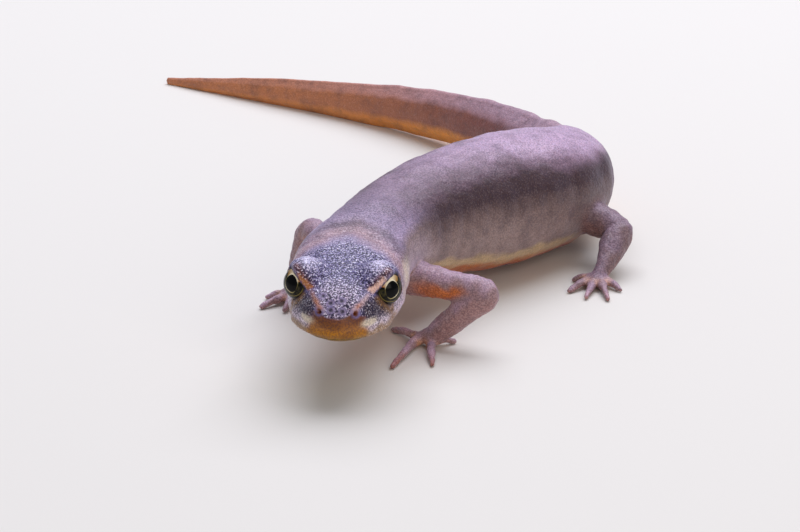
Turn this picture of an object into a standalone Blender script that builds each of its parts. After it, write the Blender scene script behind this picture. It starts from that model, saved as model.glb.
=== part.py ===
# Smooth newt at life size, standing still with its trunk bent to its left and its tail laid to its right
# Sizes are in millimetres while the pieces are shaped, and every finished mesh is turned to metres
# The snout points along -Y, the animal's left is +X, and the floor is Z = 0

import math

import bmesh
import bpy
import numpy as np
from mathutils import Matrix, Vector
from mathutils.bvhtree import BVHTree

for old_object in list(bpy.data.objects):
    bpy.data.objects.remove(old_object, do_unlink=True)

MM = 0.001
GAP = 0.3

# Sections of the body from the snout to the tail's tip, each with
# its place along the body, the spine's heading in degrees (0 runs along +Y, positive turns to +X),
# the height of its centre, its half width, its height above and below the centre,
# and its roundness above and below, where 2 is an ellipse, more is boxier and less is keeled
SECTIONS = {
    "snout": (0.0, 4.9, 5.12, 2.62, 1.85, 0.70, 2.25, 2.05),
    "eyes": (4.1, 4.9, 5.15, 3.28, 2.95, 1.12, 2.35, 2.25),
    "cheeks": (7.0, 4.3, 5.40, 3.75, 3.15, 1.61, 2.3, 2.25),
    "throat fold": (9.6, 12.8, 5.95, 3.75, 2.82, 2.14, 2.65, 2.2),
    "shoulders": (13.2, 17.6, 6.20, 3.30, 2.86, 2.74, 2.25, 2.0),
    "chest": (17.7, 26.5, 6.05, 3.55, 3.20, 3.35, 2.1, 2.1),
    "ribs": (22.7, 36.5, 5.65, 4.05, 3.90, 4.05, 2.1, 2.1),
    "belly": (27.8, 42.5, 5.10, 4.60, 4.40, 4.40, 2.1, 2.1),
    "loin": (32.7, 40.5, 4.65, 4.70, 4.45, 4.15, 2.1, 2.1),
    "hips": (35.7, 30.0, 4.40, 4.35, 4.10, 3.85, 2.1, 2.1),
    "vent": (38.7, 12.0, 4.15, 3.60, 3.60, 3.45, 2.0, 2.0),
    "tail root": (41.7, -3.5, 3.75, 2.80, 2.90, 2.80, 1.9, 1.9),
    "tail keel": (46.2, -19.0, 3.30, 2.00, 2.45, 2.40, 1.7, 1.7),
    "tail third": (53.2, -31.0, 2.80, 1.45, 2.20, 2.10, 1.65, 1.65),
    "tail half": (61.2, -42.5, 2.20, 1.15, 1.90, 1.85, 1.65, 1.65),
    "tail two thirds": (69.7, -54.0, 1.47, 0.85, 1.50, 1.45, 1.65, 1.65),
    "tail end": (79.0, -58.5, 0.87, 0.52, 0.95, 0.90, 1.7, 1.7),
    "tail tip": (87.8, -58.0, 0.27, 0.16, 0.25, 0.30, 2.0, 2.0),
}
TABLE = np.array(list(SECTIONS.values()))
ALONG = TABLE[:, 0]
HEADING, HEIGHT, HALF_WIDTH, ABOVE, BELOW, ROUND_OVER, ROUND_UNDER = range(1, 8)
TAIL_END = ALONG[-1]

SNOUT_PLACE = (-0.45, -0.40)
# How far back the snout rounds, and how blunt it is (2 is an ellipse), seen from above, over and under
SNOUT_ACROSS = (3.2, 1.85)
SNOUT_OVER = (1.7, 2.1)
SNOUT_UNDER = (1.6, 2.2)
HEAD_ROLL = math.radians(2.2)
HEAD_ROLL_ENDS = 14.0
SPINE_STEP = 0.1

# Lengths of the body, each a node from one place along it to the next, with its count of rings
HEAD_END = 9.6
BODY_NODES = {
    "neck": (HEAD_END, 12.4, 4),
    "trunk_front": (12.4, 20.0, 8),
    "trunk_middle": (20.0, 27.5, 8),
    "trunk_rear": (27.5, 33.5, 7),
    "pelvis": (33.5, 38.5, 6),
    "tail_base": (38.5, 52.0, 10),
    "tail_middle": (52.0, 68.0, 9),
    "tail_end": (68.0, TAIL_END, 9),
}
BODY_SIDES = 32
HEAD_SIDES = 44
HEAD_RINGS = 20
TAIL_SIDES = 24

# Eyes, their lids and brows, as places along, across and above the spine
EYE_RADIUS = 1.10
EYE_GAP = 0.2
EYE_PLACE = (4.1, 2.64, 1.87)
LID_THICKNESS = 0.22
LID_OPENING = (math.radians(66.0), math.radians(57.0))
LID_LOOKS = (-0.60, 0.85, 0.14)
BROW_PLACE = (4.9, 1.85, 1.80)
BROW_RADII = (2.5, 1.5, 1.45)

# Nostrils sit on the front of the snout, seen from this direction in the head's own axes
NOSTRIL_PLACE = (0.9, 1.16, 1.22)
NOSTRIL_LOOKS = (-1.0, 0.75, 0.35)
NOSTRIL_RADIUS = 0.2
NOSTRIL_DEPTH = 0.35

# The mouth line runs from the snout to its corner below the back of the eye
MOUTH_LEVEL_FRONT = -0.36
MOUTH_LEVEL_CORNER = -0.42
MOUTH_SMILE = 0.10
MOUTH_CORNER = 6.1
JAW_ANGLE = (7.4, -2.6)
JAW_REACH = 6.0
MOUTH_STEPS = 9

# Limbs: root inside the body, then the elbow or knee, the wrist or ankle, and the middle of the palm
LIMBS = {
    "left_fore": ((3.75, 13.1, 4.25), (9.1, 9.9, 4.10), (6.2, 10.85, 1.25), (5.2, 11.2, 0.64)),
    "right_fore": ((-0.2, 13.9, 5.3), (-2.4, 18.0, 5.5), (-3.3, 19.8, 1.4), (-3.7, 19.5, 0.75)),
    "left_hind": ((15.2, 29.2, 3.6), (18.65, 26.0, 2.70), (17.6, 23.4, 1.15), (17.05, 22.5, 0.62)),
    "right_hind": ((12.4, 32.0, 3.6), (7.7, 33.6, 3.3), (5.6, 37.1, 1.25), (4.7, 37.8, 0.62)),
}
# Radii at the root, the middle of the upper length, its joint, the middle of the lower length, the wrist
LIMB_RADII = {
    "fore": (1.25, 1.00, 0.92, 0.95, 0.84),
    "hind": (1.50, 1.28, 0.95, 0.98, 0.68),
}
LIMB_NAMES = {
    "fore": ("upper_arm", "forearm", "hand"),
    "hind": ("thigh", "shank", "foot"),
}
LIMB_SIDES = 14
# Length of body whose skin each pair of limbs grows from
LIMB_BED = {"fore": (9.8, 21.0), "hind": (29.0, 43.0)}

PALM_RADII = {"fore": (0.95, 0.98, 0.46), "hind": (1.10, 0.98, 0.48)}
PALM_SEGMENTS = 14

# Digits of each hand and foot, first to last: compass angle of the knuckle and of the tip about the palm,
# from -Y towards +X in degrees, and the tip's reach in mm
DIGITS = {
    "left_fore": ((-138.0, -139.0, 3.4), (-66.0, -26.5, 5.0), (34.0, 6.5, 4.2), (80.0, 97.0, 2.1)),
    "right_fore": ((50.0, 28.0, 1.9), (0.0, -12.0, 2.6), (-55.0, -52.0, 2.8), (-110.0, -98.0, 2.0)),
    "left_hind": ((-125.0, -115.0, 1.9), (-78.0, -52.0, 2.7), (-30.0, -18.0, 3.2),
                  (20.0, 10.0, 3.4), (70.0, 48.0, 2.2)),
    "right_hind": ((50.0, 22.0, 2.0), (5.0, -18.0, 2.9), (-45.0, -48.0, 3.4),
                   (-90.0, -78.0, 3.4), (-130.0, -118.0, 2.3)),
}
KNUCKLE_REACH = 0.62
DIGIT_ROOT_RADIUS = 0.36
DIGIT_TIP_RADIUS = 0.20
DIGIT_SIDES = 8
DIGIT_STEPS = 4
DIGIT_ARCH = 0.22
DIGIT_TIP_HEIGHT = 0.15

SKIN_TOP = (0.33, 0.26, 0.33)
SKIN_TAIL = (0.33, 0.21, 0.18)
SKIN_LIMB = (0.36, 0.26, 0.30)
SKIN_JAW = (0.55, 0.42, 0.30)
EYE_BLACK = (0.02, 0.02, 0.015)
SKIN_ROUGHNESS = 0.55
EYE_ROUGHNESS = 0.08


# Smooth values between the sections

def smooth_column(column, along):
    values = TABLE[:, column]
    slopes = np.gradient(values, ALONG)
    along = float(np.clip(along, 0.0, TAIL_END))
    row = int(np.clip(np.searchsorted(ALONG, along) - 1, 0, len(ALONG) - 2))
    span = ALONG[row + 1] - ALONG[row]
    t = (along - ALONG[row]) / span
    return (
        (2 * t**3 - 3 * t**2 + 1) * values[row]
        + (t**3 - 2 * t**2 + t) * span * slopes[row]
        + (3 * t**2 - 2 * t**3) * values[row + 1]
        + (t**3 - t**2) * span * slopes[row + 1]
    )


def walk_spine():
    x, y = SNOUT_PLACE
    count = int(round(TAIL_END / SPINE_STEP))
    places = []
    for step in range(count + 1):
        along = step * SPINE_STEP
        height = smooth_column(HEIGHT, along)
        places.append((x, y, height))
        rise = smooth_column(HEIGHT, along + SPINE_STEP) - height
        run = math.sqrt(max(SPINE_STEP**2 - rise**2, 0.0))
        heading = math.radians(smooth_column(HEADING, along))
        x += run * math.sin(heading)
        y += run * math.cos(heading)
    return np.array(places)


SPINE = walk_spine()
SPINE_ALONG = np.arange(len(SPINE)) * SPINE_STEP


def spine_frame(along):
    inside = float(np.clip(along, 0.0, TAIL_END))
    centre = Vector([float(np.interp(inside, SPINE_ALONG, SPINE[:, axis])) for axis in range(3)])
    heading = math.radians(smooth_column(HEADING, inside))
    slope = (smooth_column(HEIGHT, inside + 0.3) - smooth_column(HEIGHT, inside - 0.3)) / 0.6
    forward = Vector((math.sin(heading), math.cos(heading), slope)).normalized()
    level_side = Vector((math.cos(heading), -math.sin(heading), 0.0))
    level_up = level_side.cross(forward)
    roll = HEAD_ROLL * max(0.0, 1.0 - inside / HEAD_ROLL_ENDS)
    side = level_side * math.cos(roll) - level_up * math.sin(roll)
    up = side.cross(forward)
    return centre + forward * (along - inside), forward, side, up


def place(along, across, above):
    centre, _, side, up = spine_frame(along)
    return centre + side * across + up * above


def head_direction(direction):
    _, forward, side, up = spine_frame(EYE_PLACE[0])
    return (forward * direction[0] + side * direction[1] + up * direction[2]).normalized()


def snout_dome(along, rounding):
    reach, bluntness = rounding
    left = 1.0 - min(max(along, 0.0) / reach, 1.0)
    return (1.0 - left**bluntness) ** (1.0 / bluntness)


def body_ring(along, sides, grow=0.0):
    half = smooth_column(HALF_WIDTH, along) * snout_dome(along, SNOUT_ACROSS) + grow
    above = smooth_column(ABOVE, along) * snout_dome(along, SNOUT_OVER) + grow
    below = smooth_column(BELOW, along) * snout_dome(along, SNOUT_UNDER) + grow
    power_over = 2.0 / smooth_column(ROUND_OVER, along)
    power_under = 2.0 / smooth_column(ROUND_UNDER, along)
    points = []
    for k in range(sides):
        angle = 2.0 * math.pi * (k + 0.5) / sides
        c = math.cos(angle)
        s = math.sin(angle)
        power = power_over if s > 0 else power_under
        reach = above if s > 0 else below
        across = half * math.copysign(abs(c) ** power, c)
        points.append(place(along, across, reach * math.copysign(abs(s) ** power, s)))
    return points


# Mesh helpers

def mesh_object(name, bm):
    bmesh.ops.recalc_face_normals(bm, faces=bm.faces)
    mesh = bpy.data.meshes.new(name)
    bm.to_mesh(mesh)
    bm.free()
    made = bpy.data.objects.new(name, mesh)
    bpy.context.scene.collection.objects.link(made)
    return made


def skin_rings(name, rings, start_pole=None, end_pole=None):
    bm = bmesh.new()
    rows = [[bm.verts.new(point) for point in ring] for ring in rings]
    for lower, upper in zip(rows, rows[1:]):
        for k in range(len(lower)):
            after = (k + 1) % len(lower)
            bm.faces.new((lower[k], lower[after], upper[after], upper[k]))
    for row, pole in ((rows[0], start_pole), (rows[-1], end_pole)):
        if pole is None:
            bm.faces.new(row)
            continue
        tip = bm.verts.new(pole)
        for k in range(len(row)):
            bm.faces.new((row[k], row[(k + 1) % len(row)], tip))
    return mesh_object(name, bm)


def sweep(name, path, radii, sides, cap_rings=3):
    # A round bar along a path, rounded at both ends
    path = [Vector(point) for point in path]
    count = len(path)
    tangents = [(path[min(k + 1, count - 1)] - path[max(k - 1, 0)]).normalized() for k in range(count)]
    side = tangents[0].orthogonal().normalized()
    centres = []
    for k in range(count):
        side = (side - tangents[k] * side.dot(tangents[k])).normalized()
        centres.append((path[k], tangents[k], side, radii[k]))
    rings = []
    first = centres[0]
    last = centres[-1]
    for k in range(1, cap_rings):
        angle = math.pi / 2 * k / cap_rings
        rings.append((first[0] - first[1] * first[3] * math.cos(angle), first, first[3] * math.sin(angle)))
    for entry in centres:
        rings.append((entry[0], entry, entry[3]))
    for k in range(cap_rings - 1, 0, -1):
        angle = math.pi / 2 * k / cap_rings
        rings.append((last[0] + last[1] * last[3] * math.cos(angle), last, last[3] * math.sin(angle)))
    loops = []
    for centre, entry, radius in rings:
        turn = entry[1].cross(entry[2])
        loops.append([
            centre + (entry[2] * math.cos(angle) + turn * math.sin(angle)) * radius
            for angle in (2.0 * math.pi * k / sides for k in range(sides))
        ])
    return skin_rings(name, loops, first[0] - first[1] * first[3], last[0] + last[1] * last[3])


def ball(name, centre, radii, axes, segments=20, rings=12):
    bm = bmesh.new()
    bmesh.ops.create_uvsphere(bm, u_segments=segments, v_segments=rings, radius=1.0)
    for vert in bm.verts:
        local = vert.co.copy()
        vert.co = centre + sum((axes[k] * local[k] * radii[k] for k in range(3)), Vector())
    return mesh_object(name, bm)


def keep_largest(bm):
    left = set(bm.verts)
    groups = []
    while left:
        group = set()
        queue = [left.pop()]
        while queue:
            vert = queue.pop()
            group.add(vert)
            for edge in vert.link_edges:
                other = edge.other_vert(vert)
                if other in left:
                    left.remove(other)
                    queue.append(other)
        groups.append(group)
    largest = max(groups, key=len)
    bmesh.ops.delete(bm, geom=[vert for vert in bm.verts if vert not in largest], context="VERTS")


def tidy(target):
    bm = bmesh.new()
    bm.from_mesh(target.data)
    bmesh.ops.remove_doubles(bm, verts=bm.verts, dist=0.002)
    bmesh.ops.dissolve_degenerate(bm, edges=bm.edges, dist=0.002)
    keep_largest(bm)
    bmesh.ops.recalc_face_normals(bm, faces=bm.faces)
    bm.to_mesh(target.data)
    bm.free()


def combine(target, tools, operation):
    # One Boolean with every tool, after which the tools are removed
    tray = bpy.data.collections.new("tools")
    bpy.context.scene.collection.children.link(tray)
    for tool in tools:
        bpy.context.scene.collection.objects.unlink(tool)
        tray.objects.link(tool)
        tool.hide_render = True
        tool.display_type = "WIRE"
    modifier = target.modifiers.new(operation.lower(), "BOOLEAN")
    modifier.operation = operation
    modifier.solver = "EXACT"
    modifier.operand_type = "COLLECTION"
    modifier.collection = tray
    shaped = target.evaluated_get(bpy.context.evaluated_depsgraph_get())
    mesh = bpy.data.meshes.new_from_object(shaped)
    target.modifiers.remove(modifier)
    target.data = mesh
    for tool in tools:
        bpy.data.objects.remove(tool, do_unlink=True)
    bpy.data.collections.remove(tray)
    tidy(target)


def slice_away(target, point, normal):
    # Removes what lies beyond a plane on its normal's side, and closes the cut
    bm = bmesh.new()
    bm.from_mesh(target.data)
    geometry = bm.verts[:] + bm.edges[:] + bm.faces[:]
    bmesh.ops.bisect_plane(bm, geom=geometry, dist=0.001, plane_co=point, plane_no=normal, clear_outer=True)
    rim = [edge for edge in bm.edges if edge.is_boundary]
    bmesh.ops.holes_fill(bm, edges=rim, sides=0)
    bm.to_mesh(target.data)
    bm.free()
    tidy(target)


def copy_of(source, name):
    twin = bpy.data.objects.new(name, source.data.copy())
    bpy.context.scene.collection.objects.link(twin)
    return twin


# The head

def eye_centre(hand):
    return place(EYE_PLACE[0], EYE_PLACE[1] * hand, EYE_PLACE[2])


def mirrored(direction, hand):
    return (direction[0], direction[1] * hand, direction[2])


def lid_opening(hand):
    # A wedge of a ball, wider than it is high, that opens the lids towards where the eye looks
    centre = eye_centre(hand)
    look = head_direction(mirrored(LID_LOOKS, hand))
    upward = spine_frame(EYE_PLACE[0])[3]
    along = look.cross(upward).normalized()
    upward = along.cross(look)
    reach = EYE_RADIUS + EYE_GAP + LID_THICKNESS + 0.15
    steps = 4
    sides = 20
    rings = []
    for k in range(steps, 0, -1):
        ring = []
        for corner in range(sides):
            angle = 2.0 * math.pi * corner / sides
            wide = math.tan(LID_OPENING[0] * k / steps) * math.cos(angle)
            high = math.tan(LID_OPENING[1] * k / steps) * math.sin(angle)
            ring.append(centre + (look + along * wide + upward * high).normalized() * reach)
        rings.append(ring)
    return skin_rings("lid_opening", rings, centre, centre + look * reach)


def mouth_level(along):
    t = min(max(along / MOUTH_CORNER, 0.0), 1.0)
    level = MOUTH_LEVEL_FRONT + (MOUTH_LEVEL_CORNER - MOUTH_LEVEL_FRONT) * t
    return level - MOUTH_SMILE * math.sin(math.pi * t)


def jaw_block(name, clearance):
    # Everything below the mouth line, back to the angle of the jaw, drawn in by the clearance
    corner = MOUTH_CORNER - clearance
    edge = [(-2.0, mouth_level(0.0) - clearance)]
    for k in range(MOUTH_STEPS + 1):
        along = corner * k / MOUTH_STEPS
        edge.append((along, mouth_level(along) - clearance))
    edge.append((JAW_ANGLE[0] - clearance, JAW_ANGLE[1]))
    edge.append((-2.0, JAW_ANGLE[1]))
    rings = [[place(along, across, above) for along, above in edge] for across in (-JAW_REACH, JAW_REACH)]
    return skin_rings(name, rings)


def nostril_pit(hand, tree):
    look = head_direction(mirrored(NOSTRIL_LOOKS, hand))
    start = place(NOSTRIL_PLACE[0], NOSTRIL_PLACE[1] * hand, NOSTRIL_PLACE[2]) + look * 5.0
    hit = tree.ray_cast(start, -look)[0]
    path = [hit - look * NOSTRIL_DEPTH, hit, hit + look * NOSTRIL_RADIUS]
    return sweep("nostril", path, [NOSTRIL_RADIUS * 0.6, NOSTRIL_RADIUS, NOSTRIL_RADIUS * 1.3], 8, 2)


def make_head():
    dome = SNOUT_ACROSS[0]
    places = [dome * (1.0 - math.cos(math.pi / 2 * k / 8)) for k in range(1, 8)]
    length = HEAD_END - GAP / 2 - dome
    places += [dome + length * k / (HEAD_RINGS - 8) for k in range(HEAD_RINGS - 7)]
    rings = [body_ring(along, HEAD_SIDES) for along in places]
    head = skin_rings("head", rings, place(0.0, 0.0, 0.0))
    bm = bmesh.new()
    bm.from_mesh(head.data)
    tree = BVHTree.FromBMesh(bm)
    bm.free()
    _, forward, side, up = spine_frame(EYE_PLACE[0])
    axes = (forward, side, up)
    lid_radius = EYE_RADIUS + EYE_GAP + LID_THICKNESS
    swellings = []
    cuts = []
    for hand in (1, -1):
        brow = place(BROW_PLACE[0], BROW_PLACE[1] * hand, BROW_PLACE[2])
        swellings.append(ball("brow", brow, BROW_RADII, axes))
        swellings.append(ball("lids", eye_centre(hand), (lid_radius,) * 3, axes, 24, 14))
        socket = ball("socket", eye_centre(hand), (EYE_RADIUS + EYE_GAP,) * 3, axes, 24, 14)
        combine(socket, [lid_opening(hand)], "UNION")
        cuts.append(socket)
        cuts.append(nostril_pit(hand, tree))
    lower_jaw = copy_of(head, "lower_jaw")
    combine(lower_jaw, [jaw_block("jaw_block", GAP / 2)], "INTERSECT")
    combine(head, swellings, "UNION")
    combine(head, cuts + [jaw_block("jaw_space", -GAP / 2)], "DIFFERENCE")
    return [head, lower_jaw]


def make_eye(name, hand):
    bm = bmesh.new()
    bmesh.ops.create_uvsphere(bm, u_segments=20, v_segments=12, radius=EYE_RADIUS)
    eye = mesh_object(name, bm)
    eye.location = eye_centre(hand)
    return eye


# The neck, trunk and tail

def make_length(name, start, end, ring_count):
    sides = TAIL_SIDES if name.startswith("tail") else BODY_SIDES
    first = start + GAP / 2
    tip = end >= TAIL_END
    last = end if tip else end - GAP / 2
    places = [first + (last - first) * k / ring_count for k in range(ring_count + 1)]
    rings = [body_ring(along, sides) for along in places]
    end_pole = place(TAIL_END + SECTIONS["tail tip"][HALF_WIDTH], 0.0, 0.0) if tip else None
    made = skin_rings(name, rings, None, end_pole)
    slice_away(made, (0.0, 0.0, 0.0), (0.0, 0.0, -1.0))
    return made


# The limbs

def between(a, b, t):
    return a + (b - a) * t


def joint_plane(before, joint, after):
    return ((joint - before).normalized() + (after - joint).normalized()).normalized()


def make_upper(name, kind, root, joint, wrist):
    radii = LIMB_RADII[kind]
    path = [root, between(root, joint, 0.5), between(root, joint, 0.85), joint]
    piece = sweep(name, path, [radii[0], radii[1], between(radii[1], radii[2], 0.7), radii[2]], LIMB_SIDES)
    across = joint_plane(root, joint, wrist)
    slice_away(piece, joint - across * GAP / 2, across)
    bed_start, bed_end = LIMB_BED[kind]
    count = 12
    places = [bed_start + (bed_end - bed_start) * k / count for k in range(count + 1)]
    bed = skin_rings("bed", [body_ring(along, BODY_SIDES, GAP) for along in places])
    combine(piece, [bed], "DIFFERENCE")
    return piece


def make_lower(name, kind, root, joint, wrist, palm):
    radii = LIMB_RADII[kind]
    path = [joint, between(joint, wrist, 0.4), between(joint, wrist, 0.75), wrist]
    piece = sweep(name, path, [radii[2], radii[3], between(radii[3], radii[4], 0.6), radii[4]], LIMB_SIDES)
    across = joint_plane(root, joint, wrist)
    slice_away(piece, joint + across * GAP / 2, -across)
    end = joint_plane(joint, wrist, palm)
    slice_away(piece, wrist - end * GAP / 2, end)
    return piece


def compass_heading(compass):
    angle = math.radians(compass)
    return Vector((math.sin(angle), -math.cos(angle), 0.0))


def make_digit(palm, palm_radii, digit):
    knuckle, compass, reach = digit
    root = palm + compass_heading(knuckle) * KNUCKLE_REACH
    root.z -= palm_radii[2] * 0.25
    tip = Vector((palm.x, palm.y, 0.0)) + compass_heading(compass) * reach
    tip.z = DIGIT_TIP_HEIGHT
    path = []
    radii = []
    for k in range(DIGIT_STEPS + 1):
        t = k / DIGIT_STEPS
        point = between(root, tip, t)
        point.z += DIGIT_ARCH * math.sin(math.pi * t) * (1.0 - t)
        path.append(point)
        radii.append(between(DIGIT_ROOT_RADIUS, DIGIT_TIP_RADIUS, t))
    return sweep("digit", path, radii, DIGIT_SIDES, 2)


def make_hand(name, kind, limb, joint, wrist, palm):
    radii = LIMB_RADII[kind]
    wrist_bend = between(wrist, palm, 0.6)
    start = between(wrist, joint, 0.25)
    thin = [radii[4], radii[4], radii[4] * 0.9, 0.45]
    hand = sweep(name, [start, wrist, wrist_bend, palm], thin, LIMB_SIDES)
    ahead = sum((compass_heading(digit[1]) * digit[2] for digit in DIGITS[limb]), Vector()).normalized()
    upward = Vector((0.0, 0.0, 1.0))
    axes = (ahead, upward.cross(ahead), upward)
    pieces = [ball("palm", palm, PALM_RADII[kind], axes, PALM_SEGMENTS, 8)]
    for digit in DIGITS[limb]:
        pieces.append(make_digit(palm, PALM_RADII[kind], digit))
    combine(hand, pieces, "UNION")
    end = joint_plane(joint, wrist, palm)
    slice_away(hand, wrist + end * GAP / 2, -end)
    slice_away(hand, (0.0, 0.0, 0.0), (0.0, 0.0, -1.0))
    return hand


def make_limb(limb):
    side, kind = limb.split("_")
    root, joint, wrist, palm = (Vector(point) for point in LIMBS[limb])
    upper, lower, end = (f"{side}_{part}" for part in LIMB_NAMES[kind])
    return [
        make_upper(upper, kind, root, joint, wrist),
        make_lower(lower, kind, root, joint, wrist, palm),
        make_hand(end, kind, limb, joint, wrist, palm),
    ]


# Materials, and the whole animal

def make_material(name, colour, roughness):
    material = bpy.data.materials.new(name)
    material.use_nodes = True
    shader = material.node_tree.nodes["Principled BSDF"]
    shader.inputs["Base Color"].default_value = (*colour, 1.0)
    shader.inputs["Roughness"].default_value = roughness
    material.diffuse_color = (*colour, 1.0)
    return material


def paint(pieces, material):
    for piece in pieces:
        piece.data.materials.clear()
        piece.data.materials.append(material)


def settle(pieces):
    # Moves everything so that the origin is the bottom centre of the whole box, and turns it to metres
    corners = [piece.matrix_world @ vert.co for piece in pieces for vert in piece.data.vertices]
    low = [min(corner[axis] for corner in corners) for axis in range(3)]
    high = [max(corner[axis] for corner in corners) for axis in range(3)]
    shift = Vector((-(low[0] + high[0]) / 2, -(low[1] + high[1]) / 2, -low[2]))
    newt = bpy.data.objects.new("newt", None)
    bpy.context.scene.collection.objects.link(newt)
    for piece in pieces:
        piece.data.transform(Matrix.Translation(piece.location + shift))
        middle = sum((vert.co for vert in piece.data.vertices), Vector()) / len(piece.data.vertices)
        piece.data.transform(Matrix.Translation(-middle))
        piece.data.transform(Matrix.Scale(MM, 4))
        piece.location = middle * MM
        piece.data.shade_smooth()
        piece.data.set_sharp_from_angle(angle=math.radians(50.0))
        piece.parent = newt


def build():
    head_pieces = make_head()
    eyes = [make_eye("eye_left", 1), make_eye("eye_right", -1)]
    bpy.context.view_layer.update()
    lengths = [make_length(name, *spans) for name, spans in BODY_NODES.items()]
    limbs = [piece for limb in LIMBS for piece in make_limb(limb)]
    paint(head_pieces[:1], make_material("head skin", SKIN_TOP, SKIN_ROUGHNESS))
    paint(head_pieces[1:], make_material("throat skin", SKIN_JAW, SKIN_ROUGHNESS))
    paint(eyes, make_material("wet eye", EYE_BLACK, EYE_ROUGHNESS))
    paint([piece for piece in lengths if not piece.name.startswith("tail")],
          make_material("back skin", SKIN_TOP, SKIN_ROUGHNESS))
    paint([piece for piece in lengths if piece.name.startswith("tail")],
          make_material("tail skin", SKIN_TAIL, SKIN_ROUGHNESS))
    paint(limbs, make_material("limb skin", SKIN_LIMB, SKIN_ROUGHNESS))
    settle(head_pieces + eyes + lengths + limbs)


build()
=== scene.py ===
import math

import bmesh
import bpy
import numpy as np
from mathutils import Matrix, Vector
from mathutils.bvhtree import BVHTree
from mathutils.kdtree import KDTree


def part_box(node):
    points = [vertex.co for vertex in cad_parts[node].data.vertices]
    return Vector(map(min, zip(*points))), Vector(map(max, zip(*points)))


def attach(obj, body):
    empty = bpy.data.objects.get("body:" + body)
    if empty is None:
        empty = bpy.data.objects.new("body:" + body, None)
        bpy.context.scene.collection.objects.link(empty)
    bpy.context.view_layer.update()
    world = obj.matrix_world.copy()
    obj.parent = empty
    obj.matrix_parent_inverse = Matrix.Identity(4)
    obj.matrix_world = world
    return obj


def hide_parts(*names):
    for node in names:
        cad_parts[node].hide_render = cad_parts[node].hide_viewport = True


# A smooth newt at life size, dressed in one skin from the snout to the tail's tip, with two eyes
# Shapes are worked out in millimetres on the animal's own spine, and every finished mesh is in metres
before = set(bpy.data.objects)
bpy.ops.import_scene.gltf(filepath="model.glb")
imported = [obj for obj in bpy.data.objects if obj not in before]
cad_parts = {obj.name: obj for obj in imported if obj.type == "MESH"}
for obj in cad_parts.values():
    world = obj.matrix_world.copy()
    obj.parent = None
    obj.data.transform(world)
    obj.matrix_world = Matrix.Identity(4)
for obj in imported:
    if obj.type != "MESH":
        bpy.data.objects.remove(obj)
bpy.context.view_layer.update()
mm = 0.001

# Sections from the snout to the tail's tip: place along the body, the spine's heading in degrees,
# the height of its centre, half width, height above and below the centre, and roundness over and under it,
# where 2 is an ellipse
bodySections = {
    "snout": (0.0, 4.9, 5.12, 2.62, 1.85, 0.70, 2.25, 2.05),
    "eyes": (4.1, 4.9, 5.15, 3.28, 2.95, 1.12, 2.35, 2.25),
    "cheeks": (7.0, 4.3, 5.40, 3.75, 3.15, 1.61, 2.3, 2.25),
    "throat fold": (9.6, 12.8, 5.95, 3.75, 2.82, 2.14, 2.65, 2.2),
    "shoulders": (13.2, 17.6, 6.20, 3.30, 2.86, 2.74, 2.25, 2.0),
    "chest": (17.7, 26.5, 6.05, 3.55, 3.20, 3.35, 2.1, 2.1),
    "ribs": (22.7, 36.5, 5.65, 4.05, 3.90, 4.05, 2.1, 2.1),
    "belly": (27.8, 42.5, 5.10, 4.60, 4.40, 4.40, 2.1, 2.1),
    "loin": (32.7, 40.5, 4.65, 4.70, 4.45, 4.15, 2.1, 2.1),
    "hips": (35.7, 30.0, 4.40, 4.35, 4.10, 3.85, 2.1, 2.1),
    "vent": (38.7, 12.0, 4.15, 3.60, 3.60, 3.45, 2.0, 2.0),
    "tail root": (41.7, -3.5, 3.75, 2.80, 2.90, 2.80, 1.9, 1.9),
    "tail keel": (46.2, -19.0, 3.30, 2.00, 2.45, 2.40, 1.7, 1.7),
    "tail third": (53.2, -31.0, 2.80, 1.45, 2.20, 2.10, 1.65, 1.65),
    "tail half": (61.2, -42.5, 2.20, 1.15, 1.90, 1.85, 1.65, 1.65),
    "tail two thirds": (69.7, -54.0, 1.47, 0.85, 1.50, 1.45, 1.65, 1.65),
    "tail end": (79.0, -58.5, 0.87, 0.52, 0.95, 0.90, 1.7, 1.7),
    "tail tip": (87.8, -58.0, 0.27, 0.16, 0.25, 0.30, 2.0, 2.0),
}
sectionTable = np.array(list(bodySections.values()))
sectionAlong = sectionTable[:, 0]
heading, centreHeight, halfWidth, heightAbove, heightBelow, roundOver, roundUnder = range(1, 8)
tailEnd = sectionAlong[-1]
spine = {
    "start": (-0.45, -0.40),
    "step": 0.1,
    "headRoll": math.radians(2.2),
    "rollEnds": 14.0,
    # how far back the snout rounds and how blunt it is, from above, over and under
    "domeAcross": (3.2, 1.85),
    "domeOver": (1.7, 2.1),
    "domeUnder": (1.6, 2.2),
}


def sectionValue(column, along):
    values = sectionTable[:, column]
    slopes = np.gradient(values, sectionAlong)
    along = np.clip(along, 0.0, tailEnd)
    row = np.clip(np.searchsorted(sectionAlong, along) - 1, 0, len(sectionAlong) - 2)
    span = sectionAlong[row + 1] - sectionAlong[row]
    t = (along - sectionAlong[row]) / span
    return (
        (2 * t**3 - 3 * t**2 + 1) * values[row]
        + (t**3 - 2 * t**2 + t) * span * slopes[row]
        + (3 * t**2 - 2 * t**3) * values[row + 1]
        + (t**3 - t**2) * span * slopes[row + 1]
    )


def walkSpine():
    step = spine["step"]
    along = np.arange(int(round(tailEnd / step)) + 1) * step
    height = sectionValue(centreHeight, along)
    rise = sectionValue(centreHeight, along + step) - height
    run = np.sqrt(np.maximum(step**2 - rise**2, 0.0))
    turn = np.radians(sectionValue(heading, along))
    x = spine["start"][0] + np.concatenate(([0.0], np.cumsum(run * np.sin(turn))[:-1]))
    y = spine["start"][1] + np.concatenate(([0.0], np.cumsum(run * np.cos(turn))[:-1]))
    return along, np.stack((x, y, height), axis=1)


spineAlong, spinePoints = walkSpine()


def unit(vectors):
    return vectors / np.linalg.norm(vectors, axis=-1, keepdims=True)


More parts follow.
